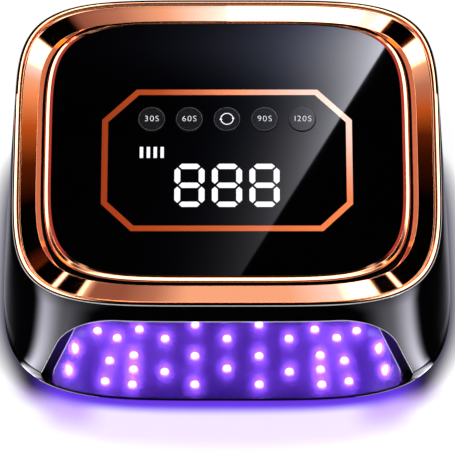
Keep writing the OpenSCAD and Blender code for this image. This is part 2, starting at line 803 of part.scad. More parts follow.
module key_switches() color("#9a9ca0") at_keys() {
  block(switch_w, switch_w, board_w + seat, switch_w_top);
  cylinder_between(plunger_d, switch_w_top - eps, plunger_w);
}
module cylinder_between(d, low, high) {
  translate([0, 0, low]) cylinder(h = high - low, d = d);
}
module board_screws() color("#b0b0b4") at_board_posts() translate([0, 0, board_low_w - seat])
  screw(board_screw_d, board_screw_l, 2 * board_screw_d, screw_head_t);

// Mirror-bright lining of the tunnel. Its front plate stands behind the
// collar, and closes what the mouth's round corners leave open.
module reflector_liner() color("#a99fd0") difference() {
  union() {
    tunnel(tunnel_shape(liner_t, below), tunnel_front_y, tunnel_back_y + liner_t);
    tunnel(mouth_shape(-ease, below), tunnel_front_y, tunnel_front_y + liner_t);
  }
  tunnel(tunnel_shape(0, below - 1), tunnel_front_y + liner_t, tunnel_back_y);
  intersection() {
    tunnel(tunnel_shape(0, below - 1), tunnel_front_y - 1, tunnel_front_y + liner_t + eps);
    tunnel(mouth_shape(0, below - 1), tunnel_front_y - 1, tunnel_front_y + liner_t + eps);
  }
  translate([-base_w, -base_d, -base_w]) cube([2 * base_w, 2 * base_d, base_w + cover_z]);
  at_ceiling_spots() translate([0, 0, tunnel_r]) cylinder(h = liner_top_z, d = bead_d + 2 * bead_clear);
  at_side_spots() rotate([0, 90, 0]) translate([0, 0, -liner_t])
    cylinder(h = 3 * liner_t, d = bead_d + 2 * bead_clear);
  at_rear_spots() rod_y(0, 0, -liner_t, 2 * liner_t, bead_d + 2 * bead_clear);
  both_sides() translate([sensor_x, sensor_y, ceiling_z - 1])
    cylinder(h = liner_t + 2, d = sensor_d + 2 * ease);
}
module bead() {
  r = bead_d / 2;
  stand = liner_t + seat + bead_rise - r;
  cylinder(h = stand, r = r, $fn = 24);
  intersection() {
    translate([0, 0, stand]) sphere(r = r, $fn = 24);
    cylinder_between(2 * bead_d, stand - eps, stand + bead_d);
  }
}
module led_beads() color("#e9e2ff") {
  at_ceiling_spots() translate([0, 0, ceiling_board_z]) rotate([180, 0, 0]) bead();
  at_side_spots() translate([liner_t + seat, 0, 0]) rotate([0, -90, 0]) bead();
  at_rear_spots() translate([0, liner_t + seat, 0]) rotate([90, 0, 0]) bead();
}
module ceiling_led_board() color("#e6e6e2") {
  front = along(ceiling_spots[0].y) - spot_edge;
  translate([-ceiling_board_half, front, ceiling_board_z])
    cube([2 * ceiling_board_half, along(ceiling_spots[20].y) + spot_edge - front, led_board_t]);
}
module side_led_boards() color("#e6e6e2") side_frame() {
  front = along(side_spots[0].x) - spot_edge;
  translate([liner_t + seat, front, -side_board_h / 2])
    cube([led_board_t, along(side_spots[4].x) + spot_edge - front, side_board_h]);
}
module rear_led_board() color("#e6e6e2") {
  half = spread_x * rear_spots[3] + spot_edge;
  translate([-half, tunnel_back_y + liner_t + seat, rear_spot_z - spot_edge])
    cube([2 * half, led_board_t, 2 * spot_edge]);
}
module sensor_windows() color("#2a1f2e") both_sides() translate([sensor_x, sensor_y, 0]) {
  cylinder_between(sensor_d, ceiling_z - sensor_rise, liner_top_z + seat);
  cylinder_between(sensor_d + 2, liner_top_z + seat, liner_top_z + sensor_d / 2);
}

// Cover that closes the housing from below, round the tunnel
module bottom_cover() color("#1a1a1d") difference() {
  loft([wall_ring_z(wall + ease, cover_z), wall_ring_z(wall + ease, cover_top_z)]);
  tunnel(tunnel_shape(liner_t + ease, below), -base_b, tunnel_back_y + liner_t + ease);
  tunnel(mouth_shape(collar_t + ease, below), -base_b, tunnel_front_y + liner_t + ease);
  at_cover_posts() {
    translate([0, 0, cover_z - 1]) cylinder(h = cover_t + 2, d = cover_screw_d + 2 * ease);
    translate([0, 0, cover_z - 1]) cylinder(h = 1 + screw_head_t, d = 2 * cover_screw_d + 2 * ease);
  }
  four_corners(magnet_x, magnet_y)
    translate([0, 0, cover_top_z - magnet_sink]) cylinder(h = cover_t, d = magnet_d + 2 * seat);
}
module cover_screws() color("#a8a8ac") at_cover_posts() translate([0, 0, cover_z + screw_head_t])
  screw(cover_screw_d, cover_screw_l - screw_head_t - ease, 2 * cover_screw_d, screw_head_t - seat);
module lamp_magnets() color("#c3c5c8") four_corners(magnet_x, magnet_y)
  translate([0, 0, cover_top_z - magnet_sink + seat]) cylinder(h = magnet_t, d = magnet_d);

// Battery pack over the tunnel's rear half
module at_cells() {
  for (sx = [-1, 1], sy = [-1, 1])
    translate([sx * (cell_l + cell_gap) / 2, battery_y + sy * cell_pitch / 2, cell_z])
      rotate([0, 90, 0]) children();
}
module battery_cells() color("#2f7fb5") at_cells() {
  cylinder(h = cell_l - 1, d = cell_d, center = true);
  cylinder(h = cell_l, d = cell_d / 3, center = true);
}
module battery_cradle() color("#202024") difference() {
  translate([-cradle_half, battery_y - cradle_deep, cradle_z])
    cube([2 * cradle_half, 2 * cradle_deep, cradle_floor + cradle_grip]);
  at_cells() cylinder(h = cell_l + 2 * seat, d = cell_d + 2 * seat, center = true);
}

// Boards and fittings at the rear
module main_board() color("#1d5a3a") difference() {
  translate([-main_w / 2, main_y, main_z]) cube([main_w, board_t, main_h]);
  at_main_posts() rod_y(0, 0, main_y - 1, main_rear_y + 1, board_screw_d + 4 * seat);
}
module main_board_screws() color("#b0b0b4") at_main_posts() translate([0, main_y - seat, 0])
  rotate([-90, 0, 0]) screw(board_screw_d, board_screw_l - ease, 2 * board_screw_d, screw_head_t);
module board_parts() color("#34373c") translate([0, main_rear_y + seat, fitting_z]) {
  for (s = [-0.5, 0.5]) rod_y(s * cap_pitch, 0, 0, cap_l, cap_d);
  rod_y(-choke_x, 0, 0, choke_l, choke_d);
  translate([choke_x - chip_w / 2, 0, -chip_w / 2]) cube([chip_w, chip_t, chip_w]);
}
module dc_jack() color("#0c0c0d") {
  difference() {
    rod_y(fitting_x, fitting_z, main_rear_y + seat, jack_y, jack_d);
    rod_y(fitting_x, fitting_z, jack_y - jack_bore_l, jack_y + 1, jack_bore_d);
  }
  rod_y(fitting_x, fitting_z, jack_y - jack_bore_l - eps, jack_y - 1, jack_pin_d);
}
module power_switch() color("#3a3a3e") {
  translate([-fitting_x - switch_w, main_rear_y + seat, fitting_z - switch_w])
    cube([2 * switch_w, switch_y - main_rear_y, 2 * switch_w]);
  rod_y(-fitting_x, fitting_z, switch_y, switch_y + 1, plunger_d);
}
module power_button() color("#303034") {
  rod_y(-fitting_x, fitting_z, sleeve_y - seat - eps, power_y, power_d);
  rod_y(-fitting_x, fitting_z, sleeve_y - seat - power_flange_t, sleeve_y - seat, power_d + 2 * power_wall);
}

// Wires between the battery, the boards and the lights
module wire(pts) {
  for (i = [0:len(pts) - 2]) {
    rod(pts[i], pts[i + 1]);
    if (i > 0) translate(pts[i]) sphere(d = bend_d, $fn = 16);
  }
}
module rod(p, q) {
  v = q - p;
  translate(p) rotate([0, acos(v.z / norm(v)), atan2(v.y, v.x)]) cylinder(h = norm(v), d = wire_d, $fn = 16);
}
module wiring() color("#b3262a") for (w = wires) wire(w);

// A key: disc through the glass, flange under it and a short stem
module key(k) {
  top = glass_w + key_rise;
  at_key(k) rotate_extrude() polygon([
    [0, stem_low_w], [stem_d / 2, stem_low_w], [stem_d / 2, flange_low_w],
    [flange_d / 2, flange_low_w], [flange_d / 2, flange_w], [key_d / 2, flange_w],
    [key_d / 2, top - key_bevel], [key_d / 2 - key_bevel, top], [0, top]
  ]);
}
module key_30() color("#2d2d33") key(0);
module key_60() color("#2d2d33") key(1);
module key_cycle() color("#2d2d33") key(2);
module key_90() color("#2d2d33") key(3);
module key_120() color("#2d2d33") key(4);

base_tray();
floor_mirror();
rubber_feet();
keeper_discs();
upper_housing();
bezel_ring();
bezel_seal();
panel_rim();
glass_panel();
octagon_inlay();
digit_segments();
charge_bars();
panel_carrier();
display_module();
control_board();
key_switches();
board_screws();
reflector_liner();
led_beads();
ceiling_led_board();
side_led_boards();
rear_led_board();
sensor_windows();
bottom_cover();
cover_screws();
lamp_magnets();
battery_cells();
battery_cradle();
main_board();
board_parts();
main_board_screws();
dc_jack();
power_switch();
wiring();
key_30();
key_60();
key_cycle();
key_90();
key_120();
power_button();
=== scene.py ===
"""Looks of the cordless nail lamp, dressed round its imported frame.

Shapes are worked out in millimetres, as in the part's source, and turned to
metres when a mesh is laid. The panel has its own directions: u across,
v up the slope, and w out of the glass.
"""
import math

import bmesh
import bpy
from mathutils import Matrix, Vector


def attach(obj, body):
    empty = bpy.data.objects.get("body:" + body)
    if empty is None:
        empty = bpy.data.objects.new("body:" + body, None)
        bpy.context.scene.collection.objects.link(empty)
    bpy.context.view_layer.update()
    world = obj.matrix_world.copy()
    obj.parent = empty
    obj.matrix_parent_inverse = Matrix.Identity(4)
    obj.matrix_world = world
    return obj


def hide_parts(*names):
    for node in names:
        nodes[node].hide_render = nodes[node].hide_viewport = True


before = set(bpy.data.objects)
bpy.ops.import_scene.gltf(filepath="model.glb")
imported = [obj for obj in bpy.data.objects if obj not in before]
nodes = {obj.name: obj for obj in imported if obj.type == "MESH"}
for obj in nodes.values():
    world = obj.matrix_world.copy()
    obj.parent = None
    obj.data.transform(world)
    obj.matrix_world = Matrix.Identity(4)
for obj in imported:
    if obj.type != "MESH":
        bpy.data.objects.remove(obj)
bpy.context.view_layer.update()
scene = bpy.context.scene

MM = 0.001

# Base and housing, as in the part's source
BASE_A, BASE_B, BASE_N = 110.0, 90.0, 4.0
TILT = math.radians(14)
PANEL_Y, PANEL_Z = 1.5, 80.0
RING_A, RING_N, RING_M = 102.4, 4.8, 5.0
RING_B = (BASE_B - 10.15) / math.cos(TILT)
WALL = 2.5
TRAY_Z, TRAY_FLOOR_Z, LIP_Z, PARTING_Z, HOUSING_Z = 0.6, 1.6, 2.4, 7.0, 7.2
TRAY_EDGE_R = 2.4
LIP_W = 2.0
COVER_TOP_Z = 9.35
SEAT, EASE = 0.05, 0.15

# Panel levels over the bezel seat
DECK_W, DECK_LOW_W = -3.4, -5.6
GLASS_W, GLASS_LOW_W = 1.3, -1.1
RIM_RISE = 2.1

# Mouth and tunnel
MOUTH_HALF, TUNNEL_HALF = 89.5, 83.5
MOUTH_TOP_Z, MOUTH_R, MOUTH_FOOT_R = 51.0, 31.0, 4.0
TUNNEL_TOP_Z, TUNNEL_R, TUNNEL_FOOT_R = 49.0, 9.0, 0.5
MOUTH_LEAN = math.radians(19)
TUNNEL_FRONT_Y, TUNNEL_BACK_Y, COLLAR_BACK_Y = -75.0, 64.0, -75.05
COLLAR_T, LINER_T = 2.2, 1.2

# Outlines of the ring, from its outer edge inwards: distance in from the
# side, half width, half depth, and shift up the slope
RING_OUTLINES = [
    (0.0, RING_A, RING_B, 0.0),
    (1.7, RING_A - 1.7, RING_B - 1.36, -0.1),
    (3.4, RING_A - 3.4, RING_B - 2.38, -0.5),
    (3.8, RING_A - 3.8, RING_B - 2.66, -0.7),
    (11.2, RING_A - 11.2, RING_B - 11.16, -1.0),
    (13.7, RING_A - 13.7, RING_B - 11.66, -0.9),
    (14.9, RING_A - 14.9, RING_B - 12.46, -0.6),
    (16.3, RING_A - 16.3, RING_B - 13.36, -0.1),
    (18.1, RING_A - 18.1, RING_B - 14.56, 0.7),
]

TURNS = 384
KEY_X = [-36.2, -18.1, 0.0, 18.1, 36.2]
KEY_V = 16.1
KEY_RISE = 0.8
KEYS = ["30", "60", "cycle", "90", "120"]


# Outlines

def bent(value, power):
    return math.copysign(abs(value) ** power, value)


def oval(a, b, n, m, t):
    return a * bent(math.cos(t), 2 / n), b * bent(math.sin(t), 2 / m)


def even_turns(count):
    """Turns that share out a squared oval's length and its bending evenly."""
    fine = 24000
    spots = [oval(RING_A, RING_B, RING_N, RING_M, 2 * math.pi * i / fine) for i in range(fine + 1)]
    total, run, heading = 0.0, [0.0], None
    whole = 2 * (RING_A + RING_B) * 1.8
    for p, q in zip(spots, spots[1:]):
        step = math.hypot(q[0] - p[0], q[1] - p[1])
        way = math.atan2(q[1] - p[1], q[0] - p[0]) if step > 1e-12 else heading
        bend = 0.0 if heading is None else abs((way - heading + math.pi) % (2 * math.pi) - math.pi)
        heading = way
        total += step / whole + 1.4 * bend / (2 * math.pi)
        run.append(total)
    turns, at = [], 0
    for k in range(count):
        goal = total * k / count
        while run[at + 1] < goal:
            at += 1
        part = (goal - run[at]) / max(run[at + 1] - run[at], 1e-15)
        turns.append(2 * math.pi * (at + part) / fine)
    return turns


TURN_LIST = even_turns(TURNS)


def panel_place(u, v, w):
    return Vector((u,
                   PANEL_Y + v * math.cos(TILT) - w * math.sin(TILT),
                   PANEL_Z + v * math.sin(TILT) + w * math.cos(TILT)))


def level_of(place):
    return (place.z - PANEL_Z) * math.cos(TILT) - (place.y - PANEL_Y) * math.sin(TILT)


def panel_loop(a, b, shift, w):
    """A squared oval on the panel at level w."""
    return [panel_place(x, y + shift, w)
            for x, y in (oval(a, b, RING_N, RING_M, t) for t in TURN_LIST)]


def outline_at(inwards):
    """Half width, half depth and shift at a distance in from the ring's side."""
    for low, high in zip(RING_OUTLINES, RING_OUTLINES[1:]):
        if inwards <= high[0]:
            break
    part = (inwards - low[0]) / (high[0] - low[0])
    return [low[k] + (high[k] - low[k]) * part for k in (1, 2, 3)]


def ring_loop(inwards, w, grow=0.0):
    """The ring's outline at a distance in from its side."""
    a, b, shift = outline_at(inwards)
    return panel_loop(a + grow, b + grow, shift, w)


def wall_ends(inset, t):
    x, y = oval(BASE_A - inset, BASE_B - inset, BASE_N, BASE_N, t)
    u, v = oval(RING_A - inset, RING_B - inset, RING_N, RING_M, t)
    return Vector((x, y, 0.0)), panel_place(u, v, 0.0)


def wall_loop(inset, z=None, w=None):
    """The housing's wall, cut level at height z or along the panel at w."""
    loop = []
    for t in TURN_LIST:
        foot, head = wall_ends(inset, t)
        part = z / head.z if w is None else 1 - w / level_of(foot)
        loop.append(foot.lerp(head, part))
    return loop


def front_y(x, z):
    """Where the housing's front wall stands at a place across and a height."""
    loop = wall_loop(0, z=z)
    for p, q in zip(loop, loop[1:] + loop[:1]):
        if p.y < 0 and p.x != q.x and (p.x - x) * (q.x - x) <= 0:
            return p.y + (q.y - p.y) * (x - p.x) / (q.x - p.x)


def arc(cx, cz, r, start, end, steps=20):
    turn = [start + (end - start) * i / steps for i in range(steps + 1)]
    return [(cx + r * math.cos(t), cz + r * math.sin(t)) for t in turn]


def lean_x(half, z):
    return half - (z - PARTING_Z) * math.tan(MOUTH_LEAN)


def arch(half, top, r, low, foot_r, grow=0.0):
    """Flat top, leaning sides and rounded corners, as (x, z)."""
    wide = half + grow / math.cos(MOUTH_LEAN)
    top, r = top + grow, r + grow
    reach = 1 / math.cos(MOUTH_LEAN)
    low_z, high_z = low + foot_r, top - r
    right = (arc(lean_x(wide, low_z) - foot_r * reach, low_z, foot_r, -math.pi / 2, MOUTH_LEAN, 10)
             + arc(lean_x(wide, high_z) - r * reach, high_z, r, MOUTH_LEAN, math.pi / 2))
    return right + [(-x, z) for x, z in reversed(right)]


def mouth_arch(grow=0.0, low=LIP_Z):
    return arch(MOUTH_HALF, MOUTH_TOP_Z, MOUTH_R, low, MOUTH_FOOT_R, grow)


def tunnel_arch(grow=0.0, low=LIP_Z):
    return arch(TUNNEL_HALF, TUNNEL_TOP_Z, TUNNEL_R, low, TUNNEL_FOOT_R, grow)


HOLD = 0.12


def rounded(corners, steps=6):
    """A section's corners (inwards, w, radius) with arcs laid in. A loop
    beside each arc keeps the flat stretches flat."""
    line = []
    for i, (x, y, r) in enumerate(corners):
        if r == 0 or i in (0, len(corners) - 1):
            line.append((x, y))
            continue
        here = Vector((x, y))
        back = Vector(corners[i - 1][:2]) - here
        ahead = Vector(corners[i + 1][:2]) - here
        half = back.angle(ahead) / 2
        reach = min(r / math.tan(half), 0.49 * back.length, 0.49 * ahead.length)
        r = reach * math.tan(half)
        middle = here + (back.normalized() + ahead.normalized()).normalized() * r / math.sin(half)
        start = here + back.normalized() * reach - middle
        sweep = start.angle_signed(here + ahead.normalized() * reach - middle)
        hold = min(reach + HOLD, 0.48 * back.length), min(reach + HOLD, 0.48 * ahead.length)
        if hold[0] > reach + 0.02:
            line.append(tuple(here + back.normalized() * hold[0]))
        for k in range(steps + 1):
            turned = start.copy()
            turned.rotate(Matrix.Rotation(-sweep * k / steps, 2))
            line.append(tuple(middle + turned))
        if hold[1] > reach + 0.02:
            line.append(tuple(here + ahead.normalized() * hold[1]))
    return line


# Modelling

def clear_pick():
    if bpy.context.object and bpy.context.object.mode != "OBJECT":
        bpy.ops.object.mode_set(mode="OBJECT")
    bpy.ops.object.select_all(action="DESELECT")


def pick(piece):
    clear_pick()
    piece.select_set(True)
    bpy.context.view_layer.objects.active = piece


def new_piece(name):
    piece = bpy.context.object
    piece.name = piece.data.name = name
    return piece


def edit(piece, kind="VERT"):
    pick(piece)
    bpy.ops.object.mode_set(mode="EDIT")
    bpy.ops.mesh.select_mode(type=kind)
    bpy.ops.mesh.select_all(action="SELECT")


def done():
    bpy.ops.object.mode_set(mode="OBJECT")


def pick_faces(piece, wanted):
    """In edit mode, picks the faces whose middle and normal are wanted."""
    work = bmesh.from_edit_mesh(piece.data)
    for part in list(work.verts) + list(work.edges) + list(work.faces):
        part.select = False
    for face in work.faces:
        if wanted(face.calc_center_median(), face.normal):
            face.select_set(True)
    bmesh.update_edit_mesh(piece.data)


def outwards():
    bpy.ops.mesh.select_all(action="SELECT")
    bpy.ops.mesh.normals_make_consistent(inside=False)


def swept(name, loops, ends="caps"):
    """A circle extruded loop by loop, each vertex laid where its loop says.
    The ends are filled as caps, or joined to each other."""
    clear_pick()
    bpy.ops.mesh.primitive_circle_add(vertices=len(loops[0]), radius=MM)
    piece = new_piece(name)
    mesh = piece.data
    order = mesh.attributes.new("order", "INT", "POINT")
    order.data.foreach_set("value", list(range(len(loops[0]))))
    for vertex, place in zip(mesh.vertices, loops[0]):
        vertex.co = place * MM
    edit(piece, "EDGE")
    for loop in loops[1:]:
        bpy.ops.mesh.extrude_edges_indiv()
        work = bmesh.from_edit_mesh(mesh)
        number = work.verts.layers.int["order"]
        for vertex in work.verts:
            if vertex.select:
                vertex.co = loop[vertex[number]] * MM
        bmesh.update_edit_mesh(mesh)
    if ends == "joined":
        bpy.ops.mesh.select_all(action="DESELECT")
        bpy.ops.mesh.select_non_manifold()
        bpy.ops.mesh.bridge_edge_loops()
    elif ends == "caps":
        bpy.ops.mesh.select_all(action="SELECT")
        bpy.ops.mesh.fill_holes(sides=0)
    outwards()
    done()
    mesh.attributes.remove(mesh.attributes["order"])
    return piece


def tunnel_block(name, outline, y0, y1):
    """A solid along Y with an outline of (x, z)."""
    return swept(name, [[Vector((x, y, z)) for x, z in outline] for y in (y0, y1)])


def box_block(name, low, high):
    clear_pick()
    size = [end - start for start, end in zip(low, high)]
    middle = [(start + end) / 2 * MM for start, end in zip(low, high)]
    bpy.ops.mesh.primitive_cube_add(size=1, location=middle)
    piece = new_piece(name)
    piece.scale = [s * MM for s in size]
    settle(piece)
    return piece


def rod(name, start, end, d, sides=48):
    """A round solid from start to end."""
    clear_pick()
    start, end = Vector(start), Vector(end)
    way = end - start
    bpy.ops.mesh.primitive_cylinder_add(vertices=sides, radius=d / 2 * MM, depth=way.length * MM,
                                        location=(start + end) / 2 * MM,
                                        rotation=way.to_track_quat("Z", "Y").to_euler())
    piece = new_piece(name)
    settle(piece)
    return piece


def settle(piece, place=None):
    """Puts a piece's place into its mesh, and its object at the origin."""
    pick(piece)
    if place is not None:
        piece.matrix_world = place @ piece.matrix_world
    bpy.ops.object.transform_apply(location=True, rotation=True, scale=True)


def carve(piece, tool, operation="DIFFERENCE", overlaps=False):
    pick(piece)
    cut = piece.modifiers.new("carve", "BOOLEAN")
    cut.operation = operation
    cut.solver = "EXACT"
    cut.use_self = overlaps
    cut.object = tool
    bpy.ops.object.modifier_apply(modifier=cut.name)
    bpy.data.objects.remove(tool)
    return piece


def joined(pieces):
    clear_pick()
    for piece in pieces:
        piece.select_set(True)
    bpy.context.view_layer.objects.active = pieces[0]
    bpy.ops.object.join()
    return pieces[0]


def smooth(piece, angle=30):
    pick(piece)
    bpy.ops.object.shade_smooth_by_angle(angle=math.radians(angle))


PANEL_TURN = (Matrix.Translation(Vector((0, PANEL_Y, PANEL_Z)) * MM)
              @ Matrix.Rotation(TILT, 4, "X"))


# Housing

BOSS_D, BOSS_H, SHANK_D = 7.0, 18.0, 3.0
BOSS_HOLE_TOP_Z, BOSS_REACH = 20.2, 2.0
SIDE_BOSS_Y, REAR_BOSS_X = (-42.0, 40.0), 64.0
MAIN_BOSS_X, MAIN_BOSS_Z, MAIN_BOSS_D = 28.0, 39.0, 6.0
SLEEVE_D, SLEEVE_DEPTH = 16.0, 2.5
BUTTON_HOLE_D, JACK_HOLE_D = 10.3, 11.1
RECESS_IN = 2.7
# How far the tools that cut the walls reach past them
FRONT_OUT_Y, REAR_OUT_Y = -100, 95
FITTING_X, FITTING_Z = 38.0, 24.0
MAIN_REAR_Y = 73.6
VENT_X, VENT_Z, VENT_W, VENT_H, VENT_PITCH = 30.0, 62.0, 1.8, 12.0, 4.0
WELL = ((-63.0, -47.5), (63.0, 36.4))


def side_wall_x(y, z):
    part = z / PANEL_Z
    a = BASE_A - WALL + (RING_A - BASE_A) * part
    b = BASE_B - WALL + (RING_B - BASE_B) * part
    return a * (1 - (abs(y) / b) ** BASE_N) ** (1 / BASE_N)


def rear_y(x, z, inset=0.0):
    head = panel_place(0, RING_B - inset, 0.0)
    part = z / head.z
    a = BASE_A - inset + (RING_A - BASE_A) * part
    b = BASE_B - inset + (head.y - BASE_B + inset) * part
    return b * (1 - (abs(x) / a) ** BASE_N) ** (1 / BASE_N)


def boss_places():
    for side in (-1, 1):
        for y in SIDE_BOSS_Y:
            yield side * (side_wall_x(y, BOSS_H) - BOSS_REACH), y
        yield side * REAR_BOSS_X, rear_y(REAR_BOSS_X, BOSS_H, WALL) - BOSS_REACH


def vent_cutter():
    slots = []
    for side in (-1, 1):
        for k in range(-3, 4):
            x = side * VENT_X + k * VENT_PITCH
            rise = VENT_H / 2
            outline = (arc(x, VENT_Z + rise, VENT_W / 2, 0, math.pi, 10)
                       + arc(x, VENT_Z - rise, VENT_W / 2, math.pi, 2 * math.pi, 10))
            slots.append(tunnel_block("slot", outline, 60.0, REAR_OUT_Y))
    return joined(slots)


def model_housing():
    """Gloss shell: soft lower and upper edges, the mouth with its collar,
    the recess and well for the panel, bosses, vents and rear holes."""
    soft = [(0.5, HOUSING_Z), (0.16, HOUSING_Z + 0.12), (0.0, HOUSING_Z + 0.45)]
    loops = [wall_loop(inset, z=z) for inset, z in soft]
    straight = [16, 26, 36, 46, 54]
    loops += [wall_loop(0, z=z) for z in straight]
    loops += [wall_loop(0, w=-0.4), wall_loop(0.12, w=-0.1), wall_loop(0.35, w=0.0)]
    shell = swept("housing_shell", loops)
    hollow = swept("hollow", [wall_loop(WALL, z=HOUSING_Z - 1), wall_loop(WALL, w=DECK_LOW_W)])
    kept = [tunnel_block("collar", mouth_arch(COLLAR_T), FRONT_OUT_Y, COLLAR_BACK_Y)]
    for x, y in boss_places():
        kept.append(rod("boss", (x, y, COVER_TOP_Z + SEAT), (x, y, COVER_TOP_Z + BOSS_H), BOSS_D))
    for side in (-1, 1):
        kept.append(rod("boss", (side * MAIN_BOSS_X, MAIN_REAR_Y + SEAT, MAIN_BOSS_Z),
                        (side * MAIN_BOSS_X, REAR_OUT_Y, MAIN_BOSS_Z), MAIN_BOSS_D))
    sleeve_y = rear_y(FITTING_X, FITTING_Z, WALL) - SLEEVE_DEPTH
    kept.append(rod("sleeve", (-FITTING_X, sleeve_y, FITTING_Z),
                    (-FITTING_X, REAR_OUT_Y, FITTING_Z), SLEEVE_D))
    carve(hollow, joined(kept), overlaps=True)
    carve(shell, hollow)
    mouth_end_y = TUNNEL_FRONT_Y + LINER_T + 2 * EASE
    carve(shell, tunnel_block("mouth", mouth_arch(), FRONT_OUT_Y, mouth_end_y))
    carve(shell, swept("recess", [panel_loop(RING_A - RECESS_IN, RING_B - RECESS_IN, 0, w)
                                  for w in (DECK_W, 2)]))
    well = box_block("well", (*WELL[0], DECK_LOW_W - 1), (*WELL[1], 2))
    settle(well, PANEL_TURN)
    carve(shell, well)
    holes = [rod("hole", (x, y, 0), (x, y, BOSS_HOLE_TOP_Z), SHANK_D) for x, y in boss_places()]
    for x, d in ((-FITTING_X, BUTTON_HOLE_D), (FITTING_X, JACK_HOLE_D)):
        holes.append(rod("hole", (x, 70, FITTING_Z), (x, REAR_OUT_Y, FITTING_Z), d))
    carve(shell, joined(holes))
    carve(shell, vent_cutter())
    smooth(shell)
    return shell


FOOT_X, FOOT_Y, FOOT_POCKET_D = 78, 60, 12.1
KEEPER_X, KEEPER_Y, KEEPER_POCKET_D = 94, 58, 10.1


def model_tray():
    """Gloss tray: rolled lower edge, soft upper edge, the front lip, the
    pocket for the floor mirror, and the pockets for feet and keepers."""
    loops = []
    for i in range(9):
        turn = math.pi / 2 * i / 8
        loops.append(wall_loop(TRAY_EDGE_R * (1 - math.sin(turn)),
                               z=TRAY_Z + TRAY_EDGE_R * (1 - math.cos(turn))))
    loops += [wall_loop(0, z=PARTING_Z - 0.45), wall_loop(0.16, z=PARTING_Z - 0.12),
              wall_loop(0.5, z=PARTING_Z)]
    tray = swept("tray_shell", loops)
    carve(tray, tunnel_block("mouth", mouth_arch(), FRONT_OUT_Y, TUNNEL_FRONT_Y))
    carve(tray, tunnel_block("tunnel", tunnel_arch(), TUNNEL_FRONT_Y - 1, TUNNEL_BACK_Y + EASE))
    pocket = swept("pocket", [[Vector((p.x, p.y, z)) for p in wall_loop(LIP_W, z=LIP_Z)]
                              for z in (TRAY_FLOOR_Z, LIP_Z + 0.01)])
    half = lean_x(TUNNEL_HALF, LIP_Z) - 1 + EASE
    frame_box = box_block("frame", (-half, FRONT_OUT_Y, 0), (half, TUNNEL_BACK_Y + EASE, 5))
    carve(pocket, frame_box, "INTERSECT")
    carve(tray, pocket)
    pockets = []
    for sx in (-1, 1):
        for sy in (-1, 1):
            x, y = sx * FOOT_X, sy * FOOT_Y
            pockets.append(rod("foot", (x, y, -1), (x, y, 1), FOOT_POCKET_D))
            x, y = sx * KEEPER_X, sy * KEEPER_Y
            pockets.append(rod("keeper", (x, y, 6), (x, y, 8), KEEPER_POCKET_D))
    carve(tray, joined(pockets))
    smooth(tray)
    return tray


def model_ring():
    """Rose ring: the roll round its outside, the flat band that slopes a
    little outwards, the slope down into the groove, and its hidden underside."""
    section = rounded([
        (0, SEAT, 0), (0, 0.55, 0.35), (0.85, 1.25, 0.7), (2.1, 1.48, 0.4), (3.1, 0.6, 0.3),
        (3.85, 0.8, 0.22),
        (11.2, 1.24, 0.4), (13.5, 0.15, 0.2), (13.7, -0.6, 0), (13.7, DECK_W + SEAT, 0),
        (2.75, DECK_W + SEAT, 0), (2.75, SEAT, 0)], 8)
    ring = swept("rose_ring", [ring_loop(x, w) for x, w in section], "joined")
    smooth(ring, 40)
    return ring


def model_rim():
    """Raised rose rim that laps over the edge of the glass."""
    section = rounded([
        (14.95, DECK_W + SEAT, 0), (14.95, RIM_RISE - 0.5, 0.3), (15.6, RIM_RISE - 0.1, 0.3),
        (16.9, RIM_RISE + 0.1, 0.3),
        (18.25, GLASS_W + 0.03, 0.0), (18.05, GLASS_W - 0.05, 0), (18.05, DECK_W + SEAT, 0)], 8)
    line = [(x if x <= 18.1 else 18.1, x - 18.1 if x > 18.1 else 0.0, w) for x, w in section]
    rim = swept("rose_rim", [ring_loop(x, w, -over) for x, over, w in line], "joined")
    smooth(rim, 40)
    return rim


MOUTH_STRIP, LIP_STRIP, LINER_STRIP = 0.32, 0.5, 0.26
STRIP_OUT = 0.08


def line_along(name, places, thick, shares=None):
    """A thin round strip along places, made a mesh. shares thins it."""
    line = bpy.data.curves.new(name, "CURVE")
    line.dimensions = "3D"
    line.bevel_depth = thick / 2 * MM
    line.bevel_resolution = 3
    line.use_fill_caps = True
    run = line.splines.new("POLY")
    run.points.add(len(places) - 1)
    for point, place, share in zip(run.points, places, shares or [1] * len(places)):
        point.co = (*(place * MM), 1)
        point.radius = share
    strip = bpy.data.objects.new(name, line)
    scene.collection.objects.link(strip)
    pick(strip)
    bpy.ops.object.convert(target="MESH")
    strip = bpy.context.object
    bpy.ops.object.shade_smooth()
    return strip


def model_mouth_edge():
    """Thin strip round the mouth's edge, above the parting line; its pale colour is a painted highlight.
    """
    places = []
    for x, z in mouth_arch(-0.1):
        if z >= HOUSING_Z + 0.3:
            places.append(Vector((x, front_y(x, z) - STRIP_OUT, z)))
    flat = [i for i in range(len(places) - 1) if places[i].x > 0 > places[i + 1].x][0]
    left, right = places[flat + 1], places[flat]
    middle = []
    for k in range(1, 24):
        x = right.x + (left.x - right.x) * k / 24
        middle.append(Vector((x, front_y(x, right.z) - STRIP_OUT, right.z)))
    places = places[:flat + 1] + middle + places[flat + 1:]
    return line_along("mouth_edge", places, MOUTH_STRIP)


def front_run(inset, z, half):
    """Places along the front of the tray's outline, from left to right."""
    loop = wall_loop(inset, z=z)
    return sorted((p for p in loop if p.y < -40 and abs(p.x) < half), key=lambda p: p.x)


def side_name(side):
    return "right" if side > 0 else "left"


def model_lip_film():
    """Mirror film on the front lip, from the floor mirror to the edge, in the floor mirror's painted
    violet light.
    """
    half = lean_x(MOUTH_HALF, LIP_Z) - MOUTH_FOOT_R
    outline = front_run(LIP_W + 0.6, LIP_Z, half) + front_run(0.95, LIP_Z, half)[::-1]
    return swept("lip_film", [[Vector((p.x, p.y, z)) for p in outline]
                              for z in (LIP_Z + 0.005, LIP_Z + 0.06)])


